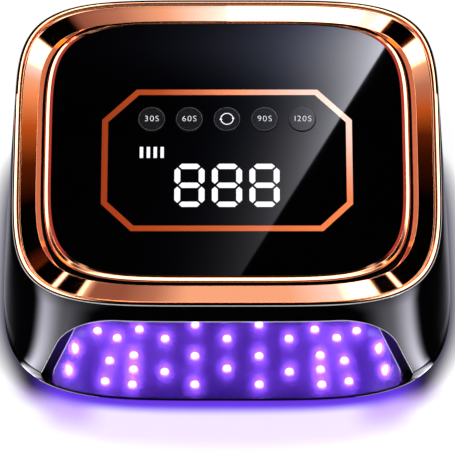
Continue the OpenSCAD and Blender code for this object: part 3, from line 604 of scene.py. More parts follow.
def model_lip_highlight(side):
    """Painted highlight: a bright line under one end of the front lip, thinner to the middle."""
    half = lean_x(MOUTH_HALF, LIP_Z)
    inner = 60
    run = [p for p in front_run(0.4, 1.6, half) if side * p.x > inner]
    thin = [0.2 + 0.8 * (side * p.x - inner) / (half - inner) for p in run]
    return line_along("lip_edge_" + side_name(side), run, LIP_STRIP, thin)


def model_liner_highlight(side):
    """Painted highlight: a glowing strip on the edge where the lining begins, at one side."""
    rise = [(lean_x(TUNNEL_HALF - 0.1, z), z) for z in range(8, 42, 3)]
    rise += [(x, z) for x, z in tunnel_arch(-0.1) if x > 0 and 42 < z < 44.5]
    run = [Vector((side * x, TUNNEL_FRONT_Y - 0.1, z)) for x, z in rise]
    return line_along("lining_edge_" + side_name(side), run, LINER_STRIP)


# Keys

FLANGE_R, FLANGE_T, FLANGE_RIM = 7.5, 0.8, 1.0
CAP_ROLL, CAP_HOLD = 0.42, 0.12
STEM_IN, STEM_L = 5, 1


def model_key():
    """One key, standing up at the origin: flange, flat disc with a rolled
    edge, and the stem below."""
    flange_w = GLASS_LOW_W - 0.1
    clear_pick()
    bpy.ops.mesh.primitive_cylinder_add(vertices=96, radius=FLANGE_R * MM, depth=FLANGE_T * MM,
                                        location=(0, 0, (flange_w - FLANGE_T / 2) * MM))
    key = new_piece("key")
    settle(key)
    edit(key, "FACE")
    pick_faces(key, lambda middle, normal: normal.z > 0.9)
    bpy.ops.mesh.inset(thickness=FLANGE_RIM * MM)
    rise = GLASS_W + KEY_RISE - flange_w
    bpy.ops.mesh.extrude_region_move(TRANSFORM_OT_translate={"value": (0, 0, rise * MM)})
    bpy.ops.mesh.bevel(offset=CAP_ROLL * MM, segments=5, affect="EDGES")
    top = (GLASS_W + KEY_RISE) * MM
    pick_faces(key, lambda middle, normal: normal.z > 0.9 and middle.z > top - 1e-6)
    bpy.ops.mesh.inset(thickness=CAP_HOLD * MM)
    pick_faces(key, lambda middle, normal: normal.z < -0.9)
    bpy.ops.mesh.inset(thickness=STEM_IN * MM)
    bpy.ops.mesh.extrude_region_move(TRANSFORM_OT_translate={"value": (0, 0, -STEM_L * MM)})
    outwards()
    done()
    smooth(key, 32)
    return key


def copied(piece, name):
    pick(piece)
    bpy.ops.object.duplicate(linked=False)
    return new_piece(name)


MARK_W = GLASS_W + KEY_RISE - 0.02
WORD_SIZE, WORD_T, WORD_GAP = 4.4, 0.03, 1.18
MARK_T = 0.06


def model_words(text, x):
    """The seconds on a key, cut from thin white film."""
    clear_pick()
    bpy.ops.object.text_add()
    words = bpy.context.object
    words.data.body = text
    words.data.size = WORD_SIZE * MM
    words.data.offset = -0.1 * MM
    words.data.extrude = WORD_T * MM
    words.data.align_x = "CENTER"
    words.data.align_y = "CENTER"
    words.data.space_character = WORD_GAP
    for letter, form in zip(text, words.data.body_format):
        form.kerning = -12 if letter == "1" else 0
    bpy.ops.object.convert(target="MESH")
    mark = new_piece("mark_" + text)
    settle(mark, PANEL_TURN @ Matrix.Translation(Vector((x, KEY_V, MARK_W + 0.04)) * MM))
    return mark


def model_cycle_mark():
    """Two arrows that follow each other round a circle."""
    parts = []
    thick, r, gap, wide = 0.4, 2.95, 0.14, 0.7
    for turn in (0, math.pi):
        start, end = turn + gap, turn + math.pi - gap
        bow = arc(0, 0, r + thick / 2, start, end, 40) + arc(0, 0, r - thick / 2, end, start, 40)
        side = math.cos(turn)
        head = [(side * (r - wide), 0.5 * side), (side * (r + wide), 0.5 * side), (side * r, -0.55 * side)]
        for name, outline in (("bow", bow), ("head", head)):
            parts.append(swept(name, [[Vector((x, y, z)) for x, y in outline] for z in (0, MARK_T)]))
    mark = joined(parts)
    mark.name = mark.data.name = "mark_cycle"
    settle(mark, PANEL_TURN @ Matrix.Translation(Vector((0, KEY_V, MARK_W)) * MM))
    return mark


# Materials

class Value:
    """A number that changes over a surface, worked out by Math nodes."""

    def __init__(self, graph, socket):
        self.graph, self.socket = graph, socket

    def _math(self, operation, *inputs):
        made = self.graph.node("Math", {"operation": operation},
                               {i: item for i, item in enumerate(inputs)})
        return Value(self.graph, made.outputs[0])

    def __add__(self, other):
        return self._math("ADD", self, other)

    def __radd__(self, other):
        return self._math("ADD", other, self)

    def __sub__(self, other):
        return self._math("SUBTRACT", self, other)

    def __rsub__(self, other):
        return self._math("SUBTRACT", other, self)

    def __mul__(self, other):
        return self._math("MULTIPLY", self, other)

    def __rmul__(self, other):
        return self._math("MULTIPLY", other, self)

    def __truediv__(self, other):
        return self._math("DIVIDE", self, other)

    def __rtruediv__(self, other):
        return self._math("DIVIDE", other, self)

    def __pow__(self, other):
        return self._math("POWER", self, other)

    def __neg__(self):
        return self._math("MULTIPLY", self, -1)

    def __abs__(self):
        return self._math("ABSOLUTE", self)

    def above(self, edge):
        return self._math("GREATER_THAN", self, edge)

    def below(self, edge):
        return self._math("LESS_THAN", self, edge)

    def least(self, other):
        return self._math("MINIMUM", self, other)

    def most(self, other):
        return self._math("MAXIMUM", self, other)

    def part(self):
        return self._math("FRACT", self)

    def fade(self, length):
        return self._math("EXPONENT", self * (-1.0 / length))

    def angle(self, other):
        return self._math("ARCTAN2", self, other)

    def power_of_e(self):
        return self._math("EXPONENT", self)

    def colour(self):
        """The same number as a grey, which may go past 1."""
        made = self.graph.node("CombineXYZ", None, {0: self, 1: self, 2: self})
        return made.outputs[0]

    def step(self, start, end):
        """Rises smoothly from 0 at start to 1 at end."""
        made = self.graph.node("MapRange", {"interpolation_type": "SMOOTHSTEP"},
                               {"Value": self, "From Min": start, "From Max": end})
        return Value(self.graph, made.outputs["Result"])


class Graph:
    """One material's or world's nodes."""

    def __init__(self, owner):
        owner.use_nodes = True
        self.owner, self.tree = owner, owner.node_tree
        self.tree.nodes.clear()

    def feed(self, socket, value):
        if isinstance(value, Value):
            value = value.socket
        if isinstance(value, bpy.types.NodeSocket):
            self.tree.links.new(value, socket)
        else:
            if isinstance(value, tuple) and len(value) == 3 and socket.type == "RGBA":
                value = (*value, 1)
            socket.default_value = value

    def node(self, kind, settings=None, sockets=None):
        made = self.tree.nodes.new("ShaderNode" + kind)
        for key, value in (settings or {}).items():
            if key == "stops":
                ramp = made.color_ramp.elements
                for place, colour in value[1:-1]:
                    ramp.new(place)
                ramp[0].position, ramp[-1].position = value[0][0], value[-1][0]
                for stop, (place, colour) in zip(ramp, value):
                    stop.color = (*colour, 1)
            else:
                setattr(made, key, value)
        for key, value in (sockets or {}).items():
            self.feed(made.inputs[key], value)
        return made

    def place(self):
        """Object coordinates in millimetres."""
        spot = self.node("TexCoord").outputs["Object"]
        split = self.node("SeparateXYZ", None, {0: spot})
        return [Value(self, split.outputs[k]) * 1000 for k in range(3)]

    def panel(self):
        """Places on the panel: u across, v up the slope, w over the seat."""
        x, y, z = self.place()
        c, s = math.cos(TILT), math.sin(TILT)
        y, z = y - PANEL_Y, z - PANEL_Z
        return x, y * c + z * s, z * c - y * s

    def within_ring(self, inwards):
        """1 inside the ring's outline at a distance in from its side."""
        u, v, w = self.panel()
        a, b, shift = outline_at(inwards)
        return ((abs(u) * (1 / a)) ** RING_N + (abs(v - shift) * (1 / b)) ** RING_M).below(1)

    def spread(self, scale, stretch=(1, 1, 1), detail=2.0, rough=0.5):
        """Soft noise, about 0.5, with scale waves in a metre."""
        spot = self.node("TexCoord").outputs["Object"]
        turned = self.node("Mapping", None, {"Vector": spot, "Scale": stretch})
        made = self.node("TexNoise", None, {"Vector": turned.outputs[0], "Scale": scale,
                                            "Detail": detail, "Roughness": rough})
        return Value(self, made.outputs["Fac"])

    def mix(self, share, first, second, mode="MIX"):
        made = self.node("Mix", {"data_type": "RGBA", "blend_type": mode},
                         {0: share, 6: first, 7: second})
        return made.outputs[2]

    def ramp(self, value, stops):
        """Colours along a value, with up to 32 stops."""
        return self.node("ValToRGB", {"stops": stops}, {0: value}).outputs[0]

    def bump(self, height, depth_mm, strength=1.0):
        made = self.node("Bump", None, {"Height": height, "Distance": depth_mm * MM,
                                        "Strength": strength})
        return made.outputs[0]

    def surface(self, **sockets):
        """The Principled shader and its output."""
        named = {key.replace("_", " "): value for key, value in sockets.items()}
        shader = self.node("BsdfPrincipled", None, named)
        self.node("OutputMaterial", None, {"Surface": shader.outputs[0]})
        return self.owner

    def glow(self, colour):
        """Light alone, for a card."""
        shader = self.node("Emission", None, {"Color": colour, "Strength": 1.0})
        self.node("OutputMaterial", None, {"Surface": shader.outputs[0]})
        return self.owner


def finish(name):
    """A new material's nodes."""
    return Graph(bpy.data.materials.new(name))


def gloss_black():
    """Piano black: deep, with a breath of navy and a faint orange peel."""
    g = finish("gloss_black")
    cloud = g.spread(30)
    colour = g.mix(cloud, (0.0005, 0.0005, 0.0009), (0.0011, 0.0011, 0.0018))
    peel = g.spread(420, detail=1.0)
    return g.surface(Base_Color=colour, Roughness=0.055 + cloud * 0.03, IOR=1.46,
                     Normal=g.bump(peel, 0.0015))


def rose_metal():
    """Polished rose plating, with painted reflections: a painted pale highlight on the
    outer lip's foot, a painted black reflection line round the outer lip, wider at
    the rear, a painted dark reflection on the low faces at the rear, painted shade
    in the groove, and a softer gloss on the rim."""
    g = finish("rose_metal")
    u, v, w = g.panel()
    cloud = g.spread(24)
    colour = g.mix(cloud, (0.87, 0.365, 0.2), (0.83, 0.335, 0.18))
    # painted dark reflection on the ring's low faces at the rear
    slope = w.step(0.95, 0.5) * v.step(63, 66)
    colour = g.mix(slope, colour, (0.2, 0.075, 0.04))
    rim = g.within_ring(15.15)
    # painted shade in the groove between the band and the rim
    groove = g.within_ring(13.4) * (1 - rim) * w.below(1.4)
    # painted black reflection line round the outer lip, wider at the rear
    lip = 1 - g.within_ring(0.95)
    rear_lip_painted_dark = (1 - g.within_ring(1.5)) * v.above(30)
    colour = g.mix(groove.most(lip).most(rear_lip_painted_dark), colour, (0.006, 0.004, 0.004))
    # painted pale highlight on the lower part of the outer lip, not metallic
    foot = lip * w.below(0.72)
    colour = g.mix(foot, colour, (0.84, 0.83, 0.82))
    brushed = g.spread(900, (1, 1, 1), detail=1.0)
    return g.surface(Base_Color=colour, Metallic=1 - foot, Roughness=0.012 + brushed * 0.016 + rim * 0.05)


def black_glass():
    """Black glass, with the faintest wiping marks in its gloss."""
    g = finish("black_glass")
    wipe = g.spread(14, (1, 2.2, 1), detail=4.0)
    colour = g.mix(wipe, (0.0003, 0.0003, 0.0005), (0.0007, 0.0007, 0.0011))
    return g.surface(Base_Color=colour, Roughness=0.012 + wipe * 0.012, IOR=1.5)


def inlay_rose():
    """Copper line under the glass, with a painted sheen: deep at the left, paler to the right, darker at
    the lower part, and a faint painted glow.
    """
    g = finish("inlay_rose")
    u, v, w = g.panel()
    grain = g.spread(500, detail=2.0)
    along = ((u + 60) * (1 / 120)).least(1).most(0)
    # painted sheen along the line: deep copper at the left, pale at the right
    colour = g.ramp(along, [(0.0, (0.29, 0.037, 0.004)), (0.23, (0.43, 0.062, 0.011)),
                            (0.4, (0.7, 0.17, 0.07)), (0.53, (0.98, 0.31, 0.14)),
                            (0.79, (0.94, 0.6, 0.47)), (1.0, (0.98, 0.72, 0.6))])
    # painted sheen, darker over the lower part of the panel
    low = v.step(20, -30)
    under = g.ramp(along, [(0.0, (0.32, 0.034, 0.004)), (0.23, (0.42, 0.056, 0.006)),
                           (0.39, (0.49, 0.083, 0.014)), (0.87, (0.87, 0.2, 0.06)),
                           (1.0, (0.88, 0.23, 0.075))])
    colour = g.mix(low, colour, under)
    colour = g.mix(grain * 0.08, colour, (0.2, 0.02, 0.004))
    # the emission is a painted glow
    return g.surface(Base_Color=colour, Roughness=0.45 + grain * 0.1, Specular_IOR_Level=0.1,
                     Coat_Weight=1.0, Coat_Roughness=0.02, Emission_Color=colour, Emission_Strength=0.22)


def display_white():
    """Lit segments, a touch brighter in the middle of their diffuser."""
    g = finish("display_white")
    # Lit segments, their brightness with a faint grain.
    grain = g.spread(260)
    colour = g.mix(grain, (0.93, 0.95, 1.0), (1.0, 1.0, 1.0))
    return g.surface(Base_Color=(0.08, 0.08, 0.085), Roughness=0.4, Coat_Weight=1.0, Coat_Roughness=0.02,
                     Emission_Color=colour, Emission_Strength=1.0)


def mark_white():
    """White film on the keys, with a painted soft glow."""
    g = finish("mark_white")
    grain = g.spread(700)
    colour = g.mix(grain, (0.66, 0.67, 0.7), (0.78, 0.78, 0.8))
    return g.surface(Base_Color=colour, Roughness=0.4, Emission_Color=colour, Emission_Strength=0.6)


def key_charcoal():
    """Satin charcoal with a fine texture."""
    g = finish("key_charcoal")
    grain = g.spread(1500, detail=3.0)
    cloud = g.spread(60)
    colour = g.mix(cloud, (0.0045, 0.0047, 0.006), (0.007, 0.0073, 0.0088))
    return g.surface(Base_Color=colour, Roughness=0.5 + grain * 0.12, Specular_IOR_Level=0.05,
                     Coat_Weight=1.0, Coat_Roughness=0.02, Normal=g.bump(grain, 0.001))


def edge_highlight():
    """Bright strip, its pale colour a painted highlight."""
    g = finish("edge_highlight")
    grain = g.spread(600, (1, 1, 6))
    colour = g.mix(grain, (0.74, 0.72, 0.65), (0.86, 0.84, 0.77))
    return g.surface(Base_Color=colour, Metallic=0.1, Roughness=0.3 + grain * 0.1)


def edge_painted_glow():
    """Strip with a painted violet glow along the lining's front edge."""
    g = finish("edge_painted_glow")
    grain = g.spread(500, (1, 1, 4))
    colour = g.mix(grain, (0.5, 0.42, 0.85), (0.64, 0.56, 1.0))
    return g.surface(Base_Color=(0.5, 0.48, 0.6), Roughness=0.3, Emission_Color=colour,
                     Emission_Strength=0.75)


def floor_mirror():
    """Mirror sheet, its violet colour a painted light from the beads, with fine drawn lines across it,
    under a clear coat.
    """
    g = finish("floor_mirror")
    x, y, z = g.place()
    drawn = g.spread(9, (1, 160, 1), detail=2.0)
    # violet colour: painted light from the beads
    colour = g.mix(drawn, (0.155, 0.058, 0.47), (0.235, 0.092, 0.66))
    return g.surface(Base_Color=colour, Metallic=1.0, Roughness=0.17 + drawn * 0.06,
                     Coat_Weight=1.0, Coat_Roughness=0.015, Coat_IOR=2.0)


def liner_mirror():
    """Metallised lining, painted violet for the beads' light: its front rim
    painted dark as shade, and a painted violet glow on its walls and on the rim, where it fades out
    towards the bottom."""
    g = finish("liner_mirror")
    x, y, z = g.place()
    cloud = g.spread(40)
    rim = y.below(TUNNEL_FRONT_Y + 0.1)
    # violet colour: painted light from the beads
    colour = g.mix(cloud, (0.03, 0.009, 0.15), (0.045, 0.014, 0.2))
    # painted shade on the lining's front rim
    colour = g.mix(rim, colour, (0.003, 0.001, 0.01))
    # painted violet glow on the walls, and on the front rim, where it fades out towards the bottom
    glow = g.mix(rim * z.step(4, 44), (0.018, 0.004, 0.09), (0.014, 0.004, 0.1))
    glow = g.mix(rim * z.step(44, 4), glow, (0.0, 0.0, 0.0))
    return g.surface(Base_Color=colour, Metallic=0.6 * (1 - rim), Roughness=0.36 + cloud * 0.1,
                     Specular_IOR_Level=0.2, Emission_Color=glow, Emission_Strength=1.0)


def led_violet():
    """Clear lens over a lit violet die. The beads in the ceiling are
    brightest at their tips."""
    g = finish("led_violet")
    x, y, z = g.place()
    grain = g.spread(900)
    colour = g.mix(grain, (0.8, 0.66, 1.0), (0.86, 0.74, 1.0))
    tip = z.step(TUNNEL_TOP_Z - 0.5, TUNNEL_TOP_Z - 1.4).most(z.below(TUNNEL_TOP_Z - 3) * 0.5)
    colour = g.mix(tip, (0.055, 0.035, 0.09), colour)
    return g.surface(Base_Color=(0.7, 0.65, 0.95), Roughness=0.1,
                     Emission_Color=colour, Emission_Strength=50)


def sensor_dark():
    g = finish("sensor_dark")
    grain = g.spread(400)
    colour = g.mix(grain, (0.03, 0.008, 0.012), (0.05, 0.014, 0.02))
    return g.surface(Base_Color=colour, Roughness=0.12 + grain * 0.06, IOR=1.5)


def grained(name, dark, pale, rough, scale, depth, gloss=0.5):
    """A moulded, cast or painted surface with a fine grain."""
    g = finish(name)
    grain = g.spread(scale, detail=3.0)
    cloud = g.spread(scale / 25)
    colour = g.mix(cloud, dark, pale)
    return g.surface(Base_Color=colour, Roughness=rough - 0.06 + grain * 0.12, Specular_IOR_Level=gloss,
                     Normal=g.bump(grain, depth))


def board(name, mask, track, flat):
    """Circuit board: solder mask with tracks under it. flat picks the two
    directions that the tracks run in."""
    g = finish(name)
    place = g.place()
    a, b = place[flat[0]], place[flat[1]]
    lane = ((a * 0.42 + g.spread(30) * 3).part() - 0.5)
    rows = ((b * 0.31 + g.spread(22) * 3).part() - 0.5)
    tracks = (abs(lane).below(0.16) * g.spread(45).above(0.5)).most(
        abs(rows).below(0.16) * g.spread(38).above(0.52))
    colour = g.mix(tracks, mask, track)
    return g.surface(Base_Color=colour, Roughness=0.28 + tracks * 0.05, Coat_Weight=0.4,
                     Coat_Roughness=0.15, Normal=g.bump(tracks, 0.03))


def cell_wrap():
    """Blue shrink wrap, a white band, and the bare can at the ends."""
    g = finish("cell_wrap")
    x, y, z = g.place()
    along = abs(abs(x) - 33)
    can = along.above(31.6)
    band = along.above(24.5) * along.below(26.5)
    cloud = g.spread(90)
    wrap = g.mix(cloud, (0.03, 0.16, 0.36), (0.05, 0.21, 0.44))
    colour = g.mix(band, wrap, (0.7, 0.7, 0.68))
    colour = g.mix(can, colour, (0.62, 0.62, 0.6))
    return g.surface(Base_Color=colour, Metallic=can * 0.9, Roughness=0.32 + cloud * 0.08)


def screw_steel(name, base):
    g = finish(name)
    grain = g.spread(1400, (1, 1, 0.2), detail=2.0)
    colour = g.mix(grain, base, tuple(0.72 * part for part in base))
    return g.surface(Base_Color=colour, Metallic=1.0, Roughness=0.22 + grain * 0.16,
                     Normal=g.bump(grain, 0.006))


def wire_cover():
    """Red insulation with a printed stripe along it."""
    g = finish("wire_cover")
    x, y, z = g.place()
    stripe = ((x + y + z) * 0.11).part().above(0.86)
    grain = g.spread(500)
    colour = g.mix(stripe, g.mix(grain, (0.36, 0.02, 0.02), (0.46, 0.035, 0.03)), (0.75, 0.7, 0.66))
    return g.surface(Base_Color=colour, Roughness=0.42 + grain * 0.1)


def paint_nodes():
    black, rose, steel = gloss_black(), rose_metal(), screw_steel("zinc_steel", (0.55, 0.56, 0.58))
    green = board("board_green", (0.012, 0.11, 0.045), (0.03, 0.22, 0.09), (0, 1))
    upright = board("board_upright", (0.012, 0.11, 0.045), (0.03, 0.22, 0.09), (0, 2))
    white_board = board("board_white", (0.74, 0.74, 0.71), (0.62, 0.6, 0.52), (0, 1))
    moulded = grained("switch_grey", (0.05, 0.05, 0.055), (0.075, 0.075, 0.08), 0.45, 900, 0.02)
    matte = grained("matte_black", (0.016, 0.016, 0.018), (0.026, 0.026, 0.028), 0.55, 700, 0.03)
    rubber = grained("rubber_black", (0.014, 0.014, 0.014), (0.022, 0.022, 0.022), 0.75, 500, 0.04)
    guide = grained("white_guide", (0.68, 0.68, 0.65), (0.76, 0.76, 0.73), 0.5, 400, 0.01)
    magnet = screw_steel("magnet_nickel", (0.64, 0.62, 0.58))
    charcoal, lit = key_charcoal(), display_white()
    finishes = {
        "base_tray": black, "upper_housing": black, "bezel_ring": rose, "panel_rim": rose,
        "floor_mirror": floor_mirror(), "rubber_feet": rubber, "keeper_discs": steel,
        "bezel_seal": grained("seal_black", (0.001, 0.001, 0.001), (0.002, 0.002, 0.002), 0.6, 500,
                              0.01, gloss=0.03),
        "glass_panel": black_glass(), "octagon_inlay": inlay_rose(), "digit_segments": lit,
        "charge_bars": lit, "panel_carrier": matte, "display_module": guide,
        "control_board": green, "key_switches": moulded, "board_screws": steel,
        "reflector_liner": liner_mirror(), "led_beads": led_violet(),
        "ceiling_led_board": white_board, "side_led_boards": white_board,
        "rear_led_board": white_board, "sensor_windows": sensor_dark(),
        "bottom_cover": matte, "cover_screws": steel, "lamp_magnets": magnet,
        "battery_cells": cell_wrap(), "battery_cradle": matte, "main_board": upright,
        "board_parts": moulded, "main_board_screws": steel, "dc_jack": matte,
        "power_switch": moulded, "wiring": wire_cover(), "power_button": charcoal,
    }
    for key in KEYS:
        finishes["key_" + key] = charcoal
    for name, piece in nodes.items():
        dress(piece, finishes[name])
    return finishes


def dress(piece, material):
    piece.data.materials.clear()
    piece.data.materials.append(material)


# Dressing

def stand_for(piece, node, body, material):
    """Puts a piece in a node's place."""
    dress(piece, material)
    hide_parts(node)
    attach(piece, body)


def dress_shells(finishes):
    shells = [(model_housing, "upper_housing", "lamp", "gloss_black"),
              (model_tray, "base_tray", "base", "gloss_black"),
              (model_ring, "bezel_ring", "lamp", "rose_metal"),
              (model_rim, "panel_rim", "lamp", "rose_metal")]
    for model, node, body, slot in shells:
        stand_for(model(), node, body, finishes[node])


def dress_trims(finishes):
    strip, painted_glow_strip = edge_highlight(), edge_painted_glow()
    trims = [(model_mouth_edge(), "lamp", strip, "steel"),
             (model_lip_film(), "base", finishes["floor_mirror"], "floor_mirror")]
    for side in (-1, 1):
        trims.append((model_lip_highlight(side), "base", strip, "steel"))
        trims.append((model_liner_highlight(side), "lamp", painted_glow_strip, "steel"))
    for trim, body, material, slot in trims:
        dress(trim, material)
        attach(trim, body)


def dress_keys(finishes):
    """One key modelled once and copied, each with its own mark."""
    first_key = model_key()
    film = mark_white()
    for x, key in zip(KEY_X, KEYS):
        body = "key_" + key
        cap = copied(first_key, "cap_" + key)
        settle(cap, PANEL_TURN @ Matrix.Translation(Vector((x, KEY_V, 0)) * MM))
        stand_for(cap, body, body, finishes[body])
        mark = model_cycle_mark() if key == "cycle" else model_words(key + "S", x)
        dress(mark, film)
        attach(mark, body)
    bpy.data.objects.remove(first_key)


# Studio

def studio_camera():
    """The photograph's view: from 50 degrees up in front, a long way off."""
    camera = bpy.data.objects.new("camera", bpy.data.cameras.new("camera"))
    scene.collection.objects.link(camera)
    aim = Vector((0.00024, -0.0172, 0.045))
    camera.location = (0.00024, -1.2385, 1.5005)
    camera.rotation_euler = (aim - camera.location).to_track_quat("-Z", "Y").to_euler()
    camera.data.sensor_width = 36
    camera.data.lens = 311.26
    camera.data.clip_start, camera.data.clip_end = 0.05, 20
    scene.camera = camera


def studio_world():
    """White for the camera and in reflections, a plain level on the object."""
    world = bpy.data.worlds.new("studio")
    scene.world = world
    g = Graph(world)
    ray = g.node("LightPath").outputs
    seen = Value(g, ray["Is Camera Ray"]).most(Value(g, ray["Is Glossy Ray"])).most(
        Value(g, ray["Is Transmission Ray"]))
    plain = g.node("Background", None, {"Color": (0.96, 0.97, 1.0), "Strength": 0.6})
    white = g.node("Background", None, {"Color": (1, 1, 1), "Strength": 1.0})
    both = g.node("MixShader", None, {0: seen, 1: plain.outputs[0], 2: white.outputs[0]})
    g.node("OutputWorld", None, {"Surface": both.outputs[0]})


def studio_lamp(name, place, aim, size, power):
    """Square soft light that gloss doesn't mirror."""
    lamp = bpy.data.lights.new(name, "AREA")
    lamp.shape, lamp.size, lamp.energy = "SQUARE", size, power
    stand = bpy.data.objects.new(name, lamp)
    scene.collection.objects.link(stand)
    stand.location = place
    stand.rotation_euler = (Vector(aim) - Vector(place)).to_track_quat("-Z", "Y").to_euler()
    stand.visible_glossy = False


# Tints of the floor: painted violet light before the mouth, and painted contact shadow
VIOLET, LILAC, LAVENDER = (0.15, 0.045, 0.85), (0.85, 0.75, 1.0), (0.62, 0.43, 1.0)
INK, MAUVE, SLATE = (0.012, 0.01, 0.02), (0.5, 0.37, 0.7), (0.14, 0.13, 0.18)


def studio_floor():
    """Pale floor, with painted violet light before the mouth and painted contact shadow round the lamp."""
    clear_pick()
    bpy.ops.mesh.primitive_plane_add(size=6)
    floor = new_piece("studio_floor")
    g = finish("studio_floor")
    x, y, z = g.place()
    rim = ((abs(x) * (1 / BASE_A)) ** 4 + (abs(y) * (1 / BASE_B)) ** 4) ** 0.25
    away = (1 - 1 / rim) * (x * x + y * y) ** 0.5
    out = away.most(0)
    # painted violet light before the mouth, and beside it
    ahead = g.mix(out.step(20, 34), g.mix(out.step(0.5, 8), VIOLET, LILAC), WHITE)
    aside = g.mix(out.step(8, 33), g.mix(out.step(0, 10), VIOLET, LAVENDER), WHITE)
    # painted shadow at the front corners
    corner = g.mix(out.step(7, 18), g.mix(out.step(2, 11.5), INK, MAUVE), WHITE)
    # painted contact shadow round the lamp
    grey = g.mix((out * 0.1).least(1), SLATE, WHITE)
    painted_light_shade = g.mix(abs(x).step(56, 74), ahead, aside)
    painted_light_shade = g.mix(abs(x).step(78, 98), painted_light_shade, corner)
    painted_light_shade = g.mix(abs(x).step(93, 109).most(y.step(-66, -40)), painted_light_shade, grey)
    ray = g.node("LightPath").outputs
    seen = Value(g, ray["Is Camera Ray"])
    dull = g.node("BsdfDiffuse", None, {"Color": g.mix(0.55, painted_light_shade, (0, 0, 0))})
    lift = g.node("Emission", None, {"Color": painted_light_shade, "Strength": seen * 0.7})
    both = g.node("AddShader", None, {0: dull.outputs[0], 1: lift.outputs[0]})
    g.node("OutputMaterial", None, {"Surface": both.outputs[0]})
    dress(floor, g.owner)
    floor.visible_glossy = False


# Tones that the ring mirrors, from the rear centre (0) to the front centre
# (1). A full tone is six times white.
WHITE, PALE, BLUSH = (1, 1, 1), (0.22, 0.46, 0.7), (0.2, 0.33, 0.5)
PEACH, SAND, TAN = (0.19, 0.185, 0.18), (0.1, 0.08, 0.08), (0.06, 0.04, 0.04)
ORANGE, RUST = (0.19, 0.13, 0.08), (0.1, 0.038, 0.009)
UMBER, EMBER = (0.02, 0.012, 0.012), (0.018, 0.005, 0.001)
COAL, BLACK = (0.007, 0.002, 0.0004), (0.0002, 0.0001, 0.0001)
LEFT_TONES = [
    (0.0, PALE), (0.07, PEACH), (0.13, SAND), (0.19, TAN), (0.205, UMBER), (0.212, BLACK),
    (0.3, BLACK), (0.308, WHITE), (0.355, WHITE), (0.375, BLUSH), (0.4, PEACH), (0.425, ORANGE),
    (0.465, RUST), (0.51, EMBER), (0.56, BLACK), (0.651, BLACK), (0.7, EMBER), (0.71, BLACK),
    (0.7645, BLACK), (0.767, WHITE), (0.772, WHITE), (0.7745, BLACK), (0.818, BLACK), (0.822, WHITE),
    (0.828, PEACH), (0.838, TAN), (0.88, TAN), (0.92, SAND), (0.955, PEACH), (1.0, PEACH),
]
RIGHT_TONES = [
    (0.0, WHITE), (0.165, WHITE), (0.17, PALE), (0.192, PALE), (0.196, WHITE), (0.215, WHITE),
    (0.222, EMBER), (0.23, BLACK), (0.285, BLACK), (0.3, EMBER), (0.308, WHITE), (0.355, WHITE),
    (0.37, PEACH), (0.41, SAND), (0.445, RUST), (0.476, EMBER), (0.5, COAL), (0.55, BLACK),
    (0.7645, BLACK), (0.767, WHITE), (0.772, WHITE), (0.7745, BLACK), (0.812, BLACK), (0.818, WHITE),
    (0.85, WHITE), (0.87, BLUSH), (0.93, PEACH), (1.0, PEACH),
]
DIM, GREY, DUSK = (0.002, 0.002, 0.002), (0.03, 0.03, 0.03), (0.05, 0.045, 0.045)
ROSE, WINE, AMBER = (0.125, 0.073, 0.058), (0.085, 0.022, 0.026), (0.4, 0.15, 0.02)
# Tones past the ring's own, by how many times as far out they lie
REAR_BEYOND = [
    (1.31, DIM), (1.34, DUSK), (1.38, DIM), (1.46, WHITE), (2.95, WHITE), (3.1, DIM), (6.0, DIM),
]
SIDE_BEYOND = [
    (1.31, DIM), (1.34, DUSK), (1.38, DIM), (1.46, WHITE), (2.1, WHITE), (2.2, DIM),
    (2.45, DIM), (2.55, ROSE), (3.6, ROSE), (3.9, WINE), (6.0, WINE),
]
FRONT_BEYOND = [
    (1.31, DIM), (1.34, DUSK), (1.38, DIM), (1.46, WHITE), (2.15, WHITE), (2.3, DIM),
    (3.5, DIM), (3.7, DUSK), (4.3, DUSK), (4.6, GREY), (6.0, GREY),
]
FARTHEST = 6.0
CARD_RISE, EYE_RISE, EYE_FOOT = 600.0, 1678.3, -859.5
GLASS_GLOSS, SHELL_GLOSS = 0.043, 0.045
# Where the sheen on the glass ends: a place on its edge, and the edge's turn
SHEEN_U, SHEEN_V = 78.2, 58.6
SHEEN_ACROSS, SHEEN_UP = 0.8679, -0.4968
# Half width and half depth of the ring's tones on the overhead card
TONES_A, TONES_B = 148, 134


def reflected_only(card, material):
    """A card that only reflections see. It lights nothing."""
    dress(card, material)
    material.cycles.emission_sampling = "NONE"
    card.visible_camera = card.visible_diffuse = card.visible_transmission = False
    card.visible_shadow = card.visible_volume_scatter = False


